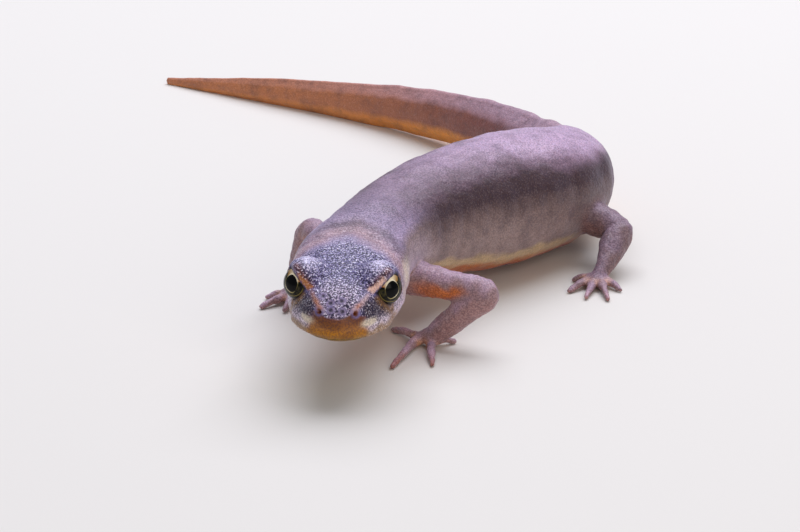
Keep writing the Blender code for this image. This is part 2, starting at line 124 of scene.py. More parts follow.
def spineFrames(along):
    along = np.asarray(along, dtype=float)
    inside = np.clip(along, 0.0, tailEnd)
    centre = np.stack([np.interp(inside, spineAlong, spinePoints[:, k]) for k in range(3)], axis=-1)
    turn = np.radians(sectionValue(heading, inside))
    slope = (sectionValue(centreHeight, inside + 0.3) - sectionValue(centreHeight, inside - 0.3)) / 0.6
    forward = unit(np.stack((np.sin(turn), np.cos(turn), slope), axis=-1))
    levelSide = np.stack((np.cos(turn), -np.sin(turn), np.zeros_like(turn)), axis=-1)
    levelUp = np.cross(levelSide, forward)
    roll = (spine["headRoll"] * np.maximum(0.0, 1.0 - inside / spine["rollEnds"]))[..., None]
    side = levelSide * np.cos(roll) - levelUp * np.sin(roll)
    up = np.cross(side, forward)
    return centre + forward * (along - inside)[..., None], forward, side, up


def placeAt(along, across, above):
    centre, forward, side, up = spineFrames(along)
    return centre + side * across + up * above


def headAxes():
    return spineFrames(eye["place"][0])[1:]


def headDirection(rearward, outward, upward):
    forward, side, up = headAxes()
    return unit(forward * rearward + side * outward + up * upward)


def distanceTo(points, place):
    return np.linalg.norm(points - place, axis=1)


def domeShare(along, dome):
    left = 1.0 - np.clip(along / dome[0], 0.0, 1.0)
    return (1.0 - left ** dome[1]) ** (1.0 / dome[1])


def fade(value, low, high):
    t = np.clip((value - low) / (high - low), 0.0, 1.0)
    return t * t * (3.0 - 2.0 * t)


def fadeOut(value, low, high):
    return 1.0 - fade(value, low, high)


def bell(value, width):
    return np.exp(-((value / width) ** 2))


def smoothLarger(a, b, width):
    h = np.clip(0.5 + 0.5 * (a - b) / width, 0.0, 1.0)
    return b * (1.0 - h) + a * h + width * h * (1.0 - h)


def lumps(points, size, seed, waves=9):
    draw = np.random.default_rng(seed)
    total = np.zeros(len(points))
    for _ in range(waves):
        direction = unit(draw.normal(size=3)) * (2.0 * math.pi / (size * draw.uniform(0.7, 1.5)))
        total += np.cos(points @ direction + draw.uniform(0.0, 2.0 * math.pi))
    return total / math.sqrt(waves)


# The two eyes, set in sockets of the skin, with places and directions as rearward, outward and upward
eye = {
    "place": (4.1, 2.64, 1.87),
    "radius": 1.12,
    "looks": {1: (-0.80, 0.53, 0.24), -1: (-0.81, 0.51, 0.29)},
    "pupilAcross": math.radians(24.0),
    "pupilHigh": math.radians(29.5),
    "pupilLean": math.radians(15.0),
    "pupilPower": 1.75,
}
lids = {
    # the ball that swells the skin over the eye, and the point it grows from
    "shift": (0.10, -0.33, 0.25),
    "radius": 1.45,
    "anchor": (0.3, -0.75, -0.75),
    # the upper lid ends in a plane, and the opening is as wide as this angle about where the eye looks
    "upperFaces": (0.22, -0.76, 0.61),
    "upperOffset": 0.16,
    "opening": math.radians(78.0),
    # how far out from the eye's centre the skin is drawn back
    "reach": 1.60,
    # the lower lid's thickness at its rim, how steeply it rises from there,
    # and how often the rims are smoothed
    "rim": 0.12,
    "rimSlope": 1.6,
    "rimRounds": 6,
    # how far the ball's swelling can reach
    "swelling": 4.5,
}

cadEye = np.mean(np.array(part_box("eye_left")), axis=0) / mm
frameShift = cadEye - placeAt(*eye["place"])
print("frame shift in mm:", np.round(frameShift, 3))


def addToScene(made):
    bpy.context.scene.collection.objects.link(made)
    return made


def meshObject(name, points, faces):
    mesh = bpy.data.meshes.new(name)
    mesh.from_pydata(np.asarray(points).tolist(), [], faces)
    mesh.update()
    return addToScene(bpy.data.objects.new(name, mesh))


def vertexPoints(mesh):
    values = np.empty(len(mesh.vertices) * 3)
    mesh.vertices.foreach_get("co", values)
    return values.reshape(-1, 3)


def vertexNormals(mesh):
    values = np.empty(len(mesh.vertices) * 3)
    mesh.vertex_normals.foreach_get("vector", values)
    return values.reshape(-1, 3)


def setPoints(mesh, points):
    mesh.vertices.foreach_set("co", np.asarray(points).ravel())
    mesh.update()


# The body's own skin, a fine tube from the snout to the tail's tip
bodySkin = {
    "ringSpans": ((2.4, 6.0, 72), (6.0, 10.4, 44), (10.4, 40.0, 104), (40.0, 87.8, 92)),
    "snoutRings": 38,
    "sides": 192,
    # where the sides lie closer together, at the eyes and along the mouth: angle, width and amount
    "crowding": ((35.0, 38.0, 0.9), (145.0, 38.0, 0.9), (194.0, 9.0, 1.3), (346.0, 9.0, 1.3)),
    "tailSidesFrom": 42.0,
}


def skinAngles(count):
    fine = np.linspace(0.0, 2.0 * math.pi, 2001)
    density = np.ones_like(fine)
    for middle, width, amount in bodySkin["crowding"]:
        density += amount * bell(fine - math.radians(middle), math.radians(width))
    total = np.concatenate(([0.0], np.cumsum(density[:-1])))
    return np.interp((np.arange(count) + 0.5) / count, total / total[-1], fine)


def makeBodySkin():
    snout = bodySkin["ringSpans"][0][0]
    count = bodySkin["snoutRings"]
    along = list(snout * (1.0 - np.cos(math.pi / 2 * np.arange(1, count) / count)))
    for start, end, rings in bodySkin["ringSpans"]:
        along += list(np.linspace(start, end, rings, endpoint=False))
    along.append(tailEnd)
    points = [placeAt(0.0, 0.0, 0.0)[None]]
    local = [np.zeros((1, 4))]
    starts = []
    total = 1
    for value in along:
        sides = bodySkin["sides"] // (2 if value > bodySkin["tailSidesFrom"] else 1)
        angles = skinAngles(bodySkin["sides"])[:: bodySkin["sides"] // sides]
        c = np.cos(angles)
        s = np.sin(angles)
        power = 2.0 / np.where(s > 0, sectionValue(roundOver, value), sectionValue(roundUnder, value))
        across = sectionValue(halfWidth, value) * domeShare(value, spine["domeAcross"])
        across = across * np.sign(c) * np.abs(c) ** power
        over = sectionValue(heightAbove, value) * domeShare(value, spine["domeOver"])
        under = sectionValue(heightBelow, value) * domeShare(value, spine["domeUnder"])
        above = np.where(s > 0, over, under) * np.sign(s) * np.abs(s) ** power
        centre, forward, side, up = spineFrames(value)
        points.append(centre + side * across[:, None] + up * above[:, None])
        local.append(np.stack((np.full(sides, value), across, above, s), axis=1))
        starts.append((total, sides))
        total += sides
    points.append(placeAt(tailEnd + 0.16, 0.0, 0.0)[None])
    local.append(np.array([[tailEnd, 0.0, 0.0, 0.0]]))
    faces = [(0, starts[0][0] + (k + 1) % starts[0][1], starts[0][0] + k) for k in range(starts[0][1])]
    for (first, sides), (second, nextSides) in zip(starts, starts[1:]):
        for k in range(nextSides):
            after = (k + 1) % nextSides
            if sides == nextSides:
                faces.append((first + k, first + after, second + after, second + k))
                continue
            left = first + 2 * k
            middle = first + 2 * k + 1
            right = first + (2 * k + 2) % sides
            faces.append((left, middle, second + k))
            faces.append((middle, second + after, second + k))
            faces.append((middle, right, second + after))
    last, sides = starts[-1]
    faces += [(total, last + k, last + (k + 1) % sides) for k in range(sides)]
    made = meshObject("newtSkin", np.concatenate(points), faces)
    turnOutwards(made)
    return made, np.concatenate(local)


def turnOutwards(target):
    bm = bmesh.new()
    bm.from_mesh(target.data)
    bmesh.ops.recalc_face_normals(bm, faces=bm.faces)
    bm.to_mesh(target.data)
    bm.free()


def eyeMiddle(hand):
    along, across, above = eye["place"]
    return placeAt(along, across * hand, above)


# Where points lie about one eye: rearward, outward and upward of its centre
def aboutEye(points, hand):
    forward, side, up = headAxes()
    away = points - eyeMiddle(hand)
    return np.stack((away @ forward, away @ side * hand, away @ up), axis=-1)


# Swells the skin over a ball at each eye, which makes the brows and the lids
def raiseLids(points, hand):
    forward, side, up = headAxes()
    local = aboutEye(points, hand)
    near = np.where(np.linalg.norm(local, axis=1) < lids["swelling"])[0]
    anchor = np.array(lids["anchor"])
    away = local[near] - anchor
    depth = np.linalg.norm(away, axis=1)
    away = away / depth[:, None]
    toBall = anchor - np.array(lids["shift"])
    slope = away @ toBall
    surface = -slope + np.sqrt(np.maximum(slope**2 - toBall @ toBall + lids["radius"] ** 2, 0.0))
    overhead = fade(away[:, 2], -0.2, 0.9)
    raised = smoothLarger(depth, surface, 0.25 + 0.6 * overhead) - depth
    outwards = away[:, :1] * forward + away[:, 1:2] * side * hand + away[:, 2:] * up
    moved = points.copy()
    moved[near] += outwards * raised[:, None]
    return moved


def upperLidDistance(local):
    return local @ unit(np.array(lids["upperFaces"])) - lids["upperOffset"]


def lidDistance(points, hand):
    # how far each point lies outside the lids' opening, in mm, and less than 0 inside it
    local = aboutEye(points, hand)
    distance = np.linalg.norm(local, axis=1)
    facing = local @ unit(np.array(eye["looks"][hand])) / np.maximum(distance, 1e-6)
    turned = (np.arccos(np.clip(facing, -1.0, 1.0)) - lids["opening"]) * eye["radius"]
    outside = smoothLarger(upperLidDistance(local), turned, 0.12)
    return np.maximum(outside, distance - lids["reach"])


def openLids(points, hand):
    # the lower lid lies close on the ball, and the skin within the opening sinks behind it
    outside = lidDistance(points, hand)
    closed = fade(outside, -0.08, 0.03)
    middle = eyeMiddle(hand)
    away = points - middle
    distance = np.maximum(np.linalg.norm(away, axis=1), 1e-6)
    rim = eye["radius"] + lids["rim"] + lids["rimSlope"] * np.maximum(outside, 0.0)
    lower = fadeOut(upperLidDistance(aboutEye(points, hand)), -0.45, -0.05)
    close = distance - lower * (distance + smoothLarger(-distance, -rim, 0.10))
    inner = eye["radius"] * 0.80
    return middle + away * ((inner + (close - inner) * closed) / distance)[:, None]


# Folds, ridges, lips, nostrils and pores that stand out of the skin or sink into it
relief = {
    "mouthFront": -0.36,
    "mouthCorner": -0.42,
    "mouthSmile": 0.10,
    "mouthEnds": 6.1,
    "nostril": (0.9, 0.95, 1.24),
    "nostrilLooks": (-1.0, 0.75, 0.35),
    "nostrilRadius": 0.13,
    "nostrilDepth": 0.35,
    # the ridge from the eye to the nostril starts here
    "ridge": (2.1, 1.82, 2.12),
    "poreRadius": 0.10,
    "poreDepth": 0.09,
    "pores": ((0.55, -0.42), (1.0, -0.46), (1.65, -1.0), (0.5, 0.32), (1.2, 0.22)),
    "costalStart": 16.5,
    "costalGap": 1.45,
    "costalCount": 12,
}


def mouthLevel(along):
    t = np.clip(along / relief["mouthEnds"], 0.0, 1.0)
    level = relief["mouthFront"] + (relief["mouthCorner"] - relief["mouthFront"]) * t
    return level - relief["mouthSmile"] * np.sin(math.pi * t)


def segmentDistance(points, start, end):
    line = end - start
    t = np.clip((points - start) @ line / (line @ line), 0.0, 1.0)
    return np.linalg.norm(points - (start + t[:, None] * line), axis=1)


def surfaceHit(tree, along, across, above, look):
    start = placeAt(along, across, above) + look * 5.0
    return np.array(tree.ray_cast(Vector(start), Vector(-look))[0])


def skinTree(target):
    bm = bmesh.new()
    bm.from_mesh(target.data)
    tree = BVHTree.FromBMesh(bm)
    bm.free()
    return tree


def nostrilPlaces(tree):
    places = []
    for hand in (1, -1):
        look = headDirection(*(np.array(relief["nostrilLooks"]) * (1, hand, 1)))
        along, across, above = relief["nostril"]
        places.append(surfaceHit(tree, along, across * hand, above, look))
    return places


def porePlaces(tree):
    up = headDirection(-0.35, 0.0, 1.0)
    return [surfaceHit(tree, along, across, 1.5, up) for along, across in relief["pores"]]


def ridgeDistance(points, nostril, hand):
    along, across, above = relief["ridge"]
    return segmentDistance(points, placeAt(along, across * hand, above), nostril + (0.0, 0.0, 0.25))


def skinRelief(points, local, nostrils):
    along, across, above, rise = local.T
    lower = fade(-rise, -0.2, 0.5)
    flank = bell(rise - 0.05, 0.55)
    out = 0.05 * lumps(points, 3.2, 3) * fade(along, 8.0, 14.0) * (1.0 - 0.7 * fade(along, 60.0, 85.0))
    out += 0.012 * lumps(points, 0.8, 5)
    # lips either side of the mouth line
    gap = above - mouthLevel(along)
    mouth = fadeOut(along, *headMarks["mouthEnds"])
    out += mouth * (0.06 * bell(gap - 0.30, 0.22) - 0.18 * bell(gap, 0.075) - 0.05 * bell(gap + 0.2, 0.16))
    out += 0.07 * bell(along - 7.0, 0.5) * bell(above + 0.55, 0.6)
    # ridge from the eye to the nostril, the hollow below it, and the flat crown
    for hand, nostril in zip((1, -1), nostrils):
        out += 0.11 * bell(ridgeDistance(points, nostril, hand), 0.32)
        hollow = distanceTo(points, placeAt(2.2, 2.55 * hand, 1.05))
        out -= 0.12 * bell(hollow, 0.75)
        distance = distanceTo(points, nostril)
        out += 0.07 * bell(distance - relief["nostrilRadius"] * 2.0, 0.11)
    out -= 0.14 * bell(across, 1.0) * bell(along - 4.6, 2.2) * fade(rise, 0.5, 0.9)
    out += 0.08 * bell(np.abs(across) - 2.9, 0.8) * bell(along - 7.9, 1.1) * bell(above - 1.9, 1.0)
    # fold across the throat, the creases behind the head, and the low ridge of the spine
    out -= 0.20 * bell(along - 10.1, 0.22) * lower
    out += 0.09 * bell(along - 9.5, 0.5) * lower
    out -= 0.10 * bell(along - 9.9 + 0.34 * np.abs(across), 0.30) * (1.0 - lower)
    back = fade(rise, 0.6, 0.9) * fade(along, 9.0, 12.0) * fadeOut(along, 38.0, 42.0)
    out += 0.05 * bell(across, 0.35) * back
    # grooves between the ribs, and finer folds where the trunk bends
    for count in range(relief["costalCount"]):
        place = relief["costalStart"] + relief["costalGap"] * count
        out -= 0.09 * bell(along - place - 0.25 * rise, 0.24) * flank
    bent = fade(along, 18.0, 24.0) * fadeOut(along, 40.0, 48.0)
    out += 0.02 * np.sin(along * 2.0 * math.pi / 0.62 + 1.3 * rise) * bent * bell(rise + 0.1, 0.5)
    # crest along the top and bottom of the tail
    tail = fade(along, 40.0, 46.0) * fadeOut(along, 76.0, 87.0)
    out += tail * (0.10 * fade(np.abs(rise), 0.93, 0.995) - 0.05 * bell(np.abs(rise) - 0.80, 0.12))
    return out


def sinkPits(points, normals, nostrils, pores):
    # nostrils lead backwards and inwards, and pores are shallow cups
    moved = points.copy()
    for hand, nostril in zip((1, -1), nostrils):
        inward = headDirection(0.85, -0.5 * hand, -0.25)
        distance = distanceTo(points, nostril)
        hole = fadeOut(distance, relief["nostrilRadius"] * 0.55, relief["nostrilRadius"] * 1.25)
        moved += inward * (relief["nostrilDepth"] * hole)[:, None]
    for pore in pores:
        distance = distanceTo(points, pore)
        moved -= normals * (relief["poreDepth"] * bell(distance, relief["poreRadius"]))[:, None]
    return moved


# Four legs, each one tube to the palm and one to each digit, fused and smoothed before they join the body
legs = {
    "left_fore": ((3.75, 13.1, 4.25), (9.1, 9.9, 4.10), (6.2, 10.85, 1.25), (5.2, 11.2, 0.64)),
    "right_fore": ((-0.2, 13.9, 5.3), (-2.4, 18.0, 5.5), (-3.3, 19.8, 1.4), (-3.7, 19.5, 0.75)),
    "left_hind": ((15.2, 29.2, 3.6), (18.65, 26.0, 2.70), (17.6, 23.4, 1.15), (17.05, 22.5, 0.62)),
    "right_hind": ((12.4, 32.0, 3.6), (7.7, 33.6, 3.3), (5.6, 37.1, 1.25), (4.7, 37.8, 0.62)),
}
# compass angle of the knuckle and of the tip about the palm, from the snout's direction
# towards the animal's left in degrees, and the tip's reach
digits = {
    "left_fore": ((-138.0, -139.0, 3.4), (-66.0, -26.5, 5.0), (34.0, 6.5, 4.2), (80.0, 97.0, 2.1)),
    "right_fore": ((50.0, 28.0, 1.9), (0.0, -12.0, 2.6), (-55.0, -52.0, 2.8), (-110.0, -98.0, 2.0)),
    "left_hind": ((-125.0, -115.0, 1.9), (-78.0, -52.0, 2.7), (-30.0, -18.0, 3.2),
                  (20.0, 10.0, 3.4), (70.0, 48.0, 2.2)),
    "right_hind": ((50.0, 22.0, 2.0), (5.0, -18.0, 2.9), (-45.0, -48.0, 3.4),
                   (-90.0, -78.0, 3.4), (-130.0, -118.0, 2.3)),
}
legShape = {
    # radii at the root, the middle of the upper length, its joint, the middle of the lower length, the wrist
    "foreRadii": (1.28, 1.02, 0.92, 0.95, 0.80),
    "hindRadii": (1.52, 1.30, 0.95, 0.98, 0.68),
    "palmRadius": 0.50,
    "palmSpread": 0.66,
    "knuckleRadius": 0.37,
    "digitRadius": 0.26,
    "tipRadius": 0.205,
    "arch": 0.24,
    "tipHeight": 0.16,
    "sides": 20,
    "pathPoints": 26,
    "voxel": 0.108,
    "smoothRounds": 5,
    # how far from the seam the skin is smoothed where a leg joins the body, and how often
    "fuse": 1.3,
    "fuseRounds": 60,
    "blendRounds": 14,
    # two points this near are one and the same
    "samePoint": 0.004,
    # height of the lowest skin over the floor, and over how much height the feet are pressed flat
    "floorGap": 0.005,
    "floorPress": 0.06,
}


def smoothPath(knots, count):
    # an even Catmull-Rom curve through knots that hold a place and a radius
    knots = np.array(knots, dtype=float)
    padded = np.vstack((2 * knots[0] - knots[1], knots, 2 * knots[-1] - knots[-2]))
    rows = []
    spans = len(knots) - 1
    for value in np.linspace(0.0, spans, count):
        k = min(int(value), spans - 1)
        t = value - k
        a, b, c, d = padded[k : k + 4]
        square = (2 * a - 5 * b + 4 * c - d) * t**2
        rows.append(0.5 * (2 * b + (c - a) * t + square + (3 * b - a - 3 * c + d) * t**3))
    return np.array(rows)


def roundEnd(path):
    # carries the path on past its end while its radius shrinks to nothing, as a fingertip does
    last = path[-1]
    away = unit(path[-1][:3] - path[-2][:3])
    rows = [path]
    for angle in np.radians((25.0, 45.0, 62.0, 76.0, 86.0)):
        place = last[:3] + away * last[3] * math.sin(angle)
        rows.append(np.append(place, last[3] * math.cos(angle))[None])
    return np.vstack(rows)


def compassHeading(degrees):
    angle = math.radians(degrees)
    return np.array((math.sin(angle), -math.cos(angle), 0.0))


def legPaths(leg):
    root, joint, wrist, palm = (np.array(place) for place in legs[leg])
    radii = legShape["foreRadii"] if leg.endswith("fore") else legShape["hindRadii"]
    upper = (joint - root) * 0.5 + root
    lower = (wrist - joint) * 0.42 + joint
    knots = [
        (*root, radii[0]),
        (*upper, radii[1]),
        (*joint, radii[2]),
        (*lower, radii[3]),
        (*wrist, radii[4]),
        (*palm, legShape["palmRadius"]),
    ]
    paths = [roundEnd(smoothPath(knots, legShape["pathPoints"] * 2))]
    for knuckleAngle, tipAngle, reach in digits[leg]:
        ground = np.array((palm[0], palm[1], 0.0))
        knuckle = ground + compassHeading(knuckleAngle) * legShape["palmSpread"]
        knuckle[2] = legShape["knuckleRadius"] * 1.15
        tip = ground + compassHeading(tipAngle) * (reach - legShape["tipRadius"])
        tip[2] = legShape["tipHeight"] + 0.03
        middle = knuckle * 0.48 + tip * 0.52
        middle[2] = legShape["tipHeight"] + legShape["arch"]
        knots = [
            (*palm, legShape["palmRadius"] * 0.9),
            (*knuckle, legShape["knuckleRadius"]),
            (*middle, legShape["digitRadius"]),
            (*tip, legShape["tipRadius"]),
        ]
        paths.append(roundEnd(smoothPath(knots, legShape["pathPoints"])))
    return paths


def srgb(code):
    # a hex colour as the linear values that a shader takes
    parts = [int(code[k : k + 2], 16) / 255.0 for k in (1, 3, 5)]
    linear = [part / 12.92 if part <= 0.04045 else ((part + 0.055) / 1.055) ** 2.4 for part in parts]
    return (*linear, 1.0)


def addNode(tree, kind, links=None, stops=(), **settings):
    # settings are the node's own, links give each input a value or another node's output,
    # and stops are the places and colours of a ramp
    node = tree.nodes.new(kind)
    for key, value in settings.items():
        setattr(node, key, value)
    for key, value in (links or {}).items():
        if isinstance(value, bpy.types.NodeSocket):
            tree.links.new(value, node.inputs[key])
        else:
            colour = isinstance(value, str) and value.startswith("#")
            node.inputs[key].default_value = srgb(value) if colour else value
    for count, (place, shade) in enumerate(stops):
        point = node.color_ramp.elements[count] if count < 2 else node.color_ramp.elements.new(place)
        point.position = place
        point.color = srgb(shade) if isinstance(shade, str) else (shade, shade, shade, 1.0)
    return node


def newFinish(name, surface):
    # a material whose surface values are set on the shader's own sockets
    material = bpy.data.materials.new(name)
    material.use_nodes = True
    tree = material.node_tree
    shader = tree.nodes["Principled BSDF"]
    for socket, value in surface.items():
        shader.inputs[socket].default_value = srgb(value) if isinstance(value, str) else value
    return material, tree, shader


def tubeTree():
    tree = bpy.data.node_groups.new("tubes along paths", "GeometryNodeTree")
    face = tree.interface
    face.new_socket("Geometry", in_out="INPUT", socket_type="NodeSocketGeometry")
    face.new_socket("Sides", in_out="INPUT", socket_type="NodeSocketInt")
    face.new_socket("Finish", in_out="INPUT", socket_type="NodeSocketMaterial")
    face.new_socket("Geometry", in_out="OUTPUT", socket_type="NodeSocketGeometry")
    given = addNode(tree, "NodeGroupInput")
    girth = addNode(tree, "GeometryNodeInputNamedAttribute", {"Name": "girth"}, data_type="FLOAT")
    lines = addNode(tree, "GeometryNodeMeshToCurve", {"Mesh": given.outputs["Geometry"]})
    sized = addNode(tree, "GeometryNodeSetCurveRadius",
                    {"Curve": lines.outputs["Curve"], "Radius": girth.outputs["Attribute"]})
    ring = addNode(tree, "GeometryNodeCurvePrimitiveCircle",
                   {"Resolution": given.outputs["Sides"], "Radius": 1.0})
    tubes = addNode(tree, "GeometryNodeCurveToMesh",
                    {"Curve": sized.outputs["Curve"], "Profile Curve": ring.outputs["Curve"],
                     "Fill Caps": True})
    if "Scale" in tubes.inputs:
        tree.links.new(girth.outputs["Attribute"], tubes.inputs["Scale"])
    real = addNode(tree, "GeometryNodeRealizeInstances", {"Geometry": tubes.outputs["Mesh"]})
    done = addNode(tree, "GeometryNodeSetMaterial",
                   {"Geometry": real.outputs["Geometry"], "Material": given.outputs["Finish"]})
    addNode(tree, "NodeGroupOutput", {"Geometry": done.outputs["Geometry"]})
    return tree


def socketName(tree, name):
    inputs = [item for item in tree.interface.items_tree if item.in_out == "INPUT"]
    return next(item.identifier for item in inputs if item.name == name)


def sweptTubes(name, paths, sides, finish):
    points = np.vstack([path[:, :3] for path in paths])
    edges = []
    start = 0
    for path in paths:
        edges += [(start + k, start + k + 1) for k in range(len(path) - 1)]
        start += len(path)
    mesh = bpy.data.meshes.new(name)
    mesh.from_pydata(points.tolist(), edges, [])
    girth = mesh.attributes.new("girth", "FLOAT", "POINT")
    girth.data.foreach_set("value", np.concatenate([path[:, 3] for path in paths]))
    made = addToScene(bpy.data.objects.new(name, mesh))
    tree = tubeTree()
    modifier = made.modifiers.new("tubes", "NODES")
    modifier.node_group = tree
    modifier[socketName(tree, "Sides")] = sides
    modifier[socketName(tree, "Finish")] = finish
    return bakedModifiers(made)


def bakedModifiers(target):
    bpy.context.view_layer.update()
    shaped = target.evaluated_get(bpy.context.evaluated_depsgraph_get())
    mesh = bpy.data.meshes.new_from_object(shaped)
    target.modifiers.clear()
    target.data = mesh
    return target


def linkedPairs(mesh):
    pairs = np.empty(len(mesh.edges) * 2, dtype=np.int64)
    mesh.edges.foreach_get("vertices", pairs)
    return pairs.reshape(-1, 2)


def smoothed(values, pairs, weight, rounds, factor=0.5):
    # moves each value towards the mean of its neighbours, by its own weight
    values = np.array(values, dtype=float)
    flat = values.reshape(len(values), -1)
    count = np.bincount(pairs.ravel(), minlength=len(flat))[:, None]
    pull = factor * np.asarray(weight)[:, None]
    for _ in range(rounds):
        total = np.empty_like(flat)
        for k in range(flat.shape[1]):
            total[:, k] = np.bincount(pairs[:, 0], flat[pairs[:, 1], k], len(flat))
            total[:, k] += np.bincount(pairs[:, 1], flat[pairs[:, 0], k], len(flat))
        flat += (total / np.maximum(count, 1) - flat) * pull
    return flat.reshape(values.shape)


def restOnFloor(points):
    # nothing reaches below the floor, and what meets it is pressed a little flat
    moved = points.copy()
    lowest = np.full(len(points), legShape["floorGap"])
    moved[:, 2] = smoothLarger(points[:, 2], lowest, legShape["floorPress"])
    return moved


def makeLeg(leg, finish):
    made = sweptTubes(leg, legPaths(leg), legShape["sides"], finish)
    remesh = made.modifiers.new("fuse", "REMESH")
    remesh.mode = "VOXEL"
    remesh.voxel_size = legShape["voxel"]
    bakedModifiers(made)
    pairs = linkedPairs(made.data)
    everywhere = np.ones(len(made.data.vertices))
    points = smoothed(vertexPoints(made.data), pairs, everywhere, legShape["smoothRounds"])
    setPoints(made.data, points)
    return made


def joinLegs(body, tools):
    tray = bpy.data.collections.new("legs")
    bpy.context.scene.collection.children.link(tray)
    for tool in tools:
        bpy.context.scene.collection.objects.unlink(tool)
        tray.objects.link(tool)
    union = body.modifiers.new("legs", "BOOLEAN")
    union.operation = "UNION"
    union.solver = "MANIFOLD"
    union.operand_type = "COLLECTION"
    union.collection = tray
    bakedModifiers(body)
    for tool in tools:
        bpy.data.objects.remove(tool, do_unlink=True)
    bpy.data.collections.remove(tray)
    return body


def pointTree(points):
    tree = KDTree(len(points))
    for k, point in enumerate(points):
        tree.insert(point, k)
    tree.balance()
    return tree


def saveValues(mesh, name, values):
    kept = mesh.attributes.new(name, "FLOAT", "POINT")
    kept.data.foreach_set("value", np.asarray(values, dtype=np.float32))


# Moist granular skin of a newt on land: dull, with fine grains that catch small lights
skinFinish = {
    # the top of the back: its pale dorsal band, with a painted lavender sky sheen
    "back": "#ccaecb",
    "backSide": "#8d7284",
    "backDark": "#4b3637",
    "flank": "#816964",
    "flankLow": "#9f8782",
    "lowerLine": "#d2b388",
    "belly": "#c16c2c",
    "bellySpot": "#32292e",
    "nape": "#b49fbe",
    "napeBand": "#bd9aa2",
    "crown": "#70669a",
    "crownFront": "#a390ad",
    # a painted highlight on the brows, also used as a painted sheen over the crown's hind part
    "brow": "#e9dfff",
    "browBrown": "#854c32",
    "lore": "#44343a",
    "cheek": "#dfcad9",
    "cheekBand": "#ffeedd",
    "tailTop": "#b997a7",
    "rustHigh": "#78400c",
    "rust": "#b9760f",
    "rustLow": "#8f6a20",
    "rustDark": "#65350d",
    "lipSide": "#a07c40",
    # the ridge's and the patch's colours by side: lighter on the animal's left as painted light, darker on
    # its right as painted shade
    "ridge": {1: "#dcbcba", -1: "#bd8665"},
    "ridgeEnd": "#cd7735",
    "patch": {1: "#efc2b2", -1: "#b87643"},
    "cream": "#e6d6be",
    "jaw": "#93701d",
    # painted shade for the mouth's groove
    "mouth": "#352015",
    # painted shade inside the nostrils
    "nostril": "#814012",
    # a painted highlight on the lower rims of the nostrils and on the pores' rims
    "rimHighlight": "#776ea3",
    "lidRim": "#8e6327",
    "dark": "#120e0e",
    "limb": "#a68688",
    "limbUnder": "#d27332",
    "hand": "#fcbf90",
    "finger": "#a15a40",
    "tail": "#88554e",
    "tailFar": "#cf8555",
    "tailLow": "#faa43f",
    "darkSpeck": "#221d36",
    # pale specks are painted glints of the wet grains
    "paleGlintSpeck": "#ebe5f4",
    "mottle": "#4e3f45",
    # sizes of the patterns and their height in mm; specks and grains are coarser than life, to show
    "speckMm": 0.108,
    "mottleMm": 1.2,
    "spotMm": 2.4,
    "grainMm": 0.16,
    "grainHigh": 0.04,
    "wartMm": 0.42,
    "wartHigh": 0.12,
    # dull skin with a thin moist film, and a faint violet sheen where it turns away
    "surface": {
        "Roughness": 0.5,
        "Specular IOR Level": 0.2,
        "Sheen Weight": 0.12,
        "Sheen Roughness": 0.4,
        "Sheen Tint": "#c9b8f2",
        "Subsurface Weight": 0.1,
        "Subsurface Radius": (1.0, 0.55, 0.35),
        "Subsurface Scale": 0.25 * mm,
        "Coat Weight": 0.14,
        "Coat Roughness": 0.25,
    },
}


headMarks = {
    # the speckled cap's hind end, and how much sooner it ends towards the sides
    "capEnds": (8.0, 10.1),
    "capLean": 0.68,
    # the smooth pink band behind it, and the crease after that, darkened by painted shade
    "bandAt": 10.2,
    "bandWidth": 1.1,
    "creaseAt": 11.0,
    "creaseWidth": 0.55,
    "creaseLean": 0.42,
    # the two ends of the dark lore along, across and above the head's axis, and how it fades away from them
    "lore": ((3.2, 2.75, 1.0), (1.5, 1.95, 1.30)),
    "loreFades": (0.35, 0.95),
    # the rust's upper edge, and where it ends along the snout
    "rustTop": 1.20,
    "rustEnds": (1.7, 2.5),
    # the soft pale patch at each side of the snout, across and above, with its width and height
    "cream": (2.0, 0.61),
    "creamSize": (0.50, 0.27),
    # how far back the mouth's groove and the painted shade along it run
    "mouthEnds": (5.7, 6.5),
}


def painted(tint, mask, code):
    return tint + (np.array(srgb(code)[:3]) - tint) * np.clip(mask, 0.0, 1.0)[:, None]


def bandColours(height, stops):
    colours = np.array([srgb(code)[:3] for place, code in stops])
    places = [place for place, code in stops]
    return np.stack([np.interp(height, places, colours[:, k]) for k in range(3)], axis=1)


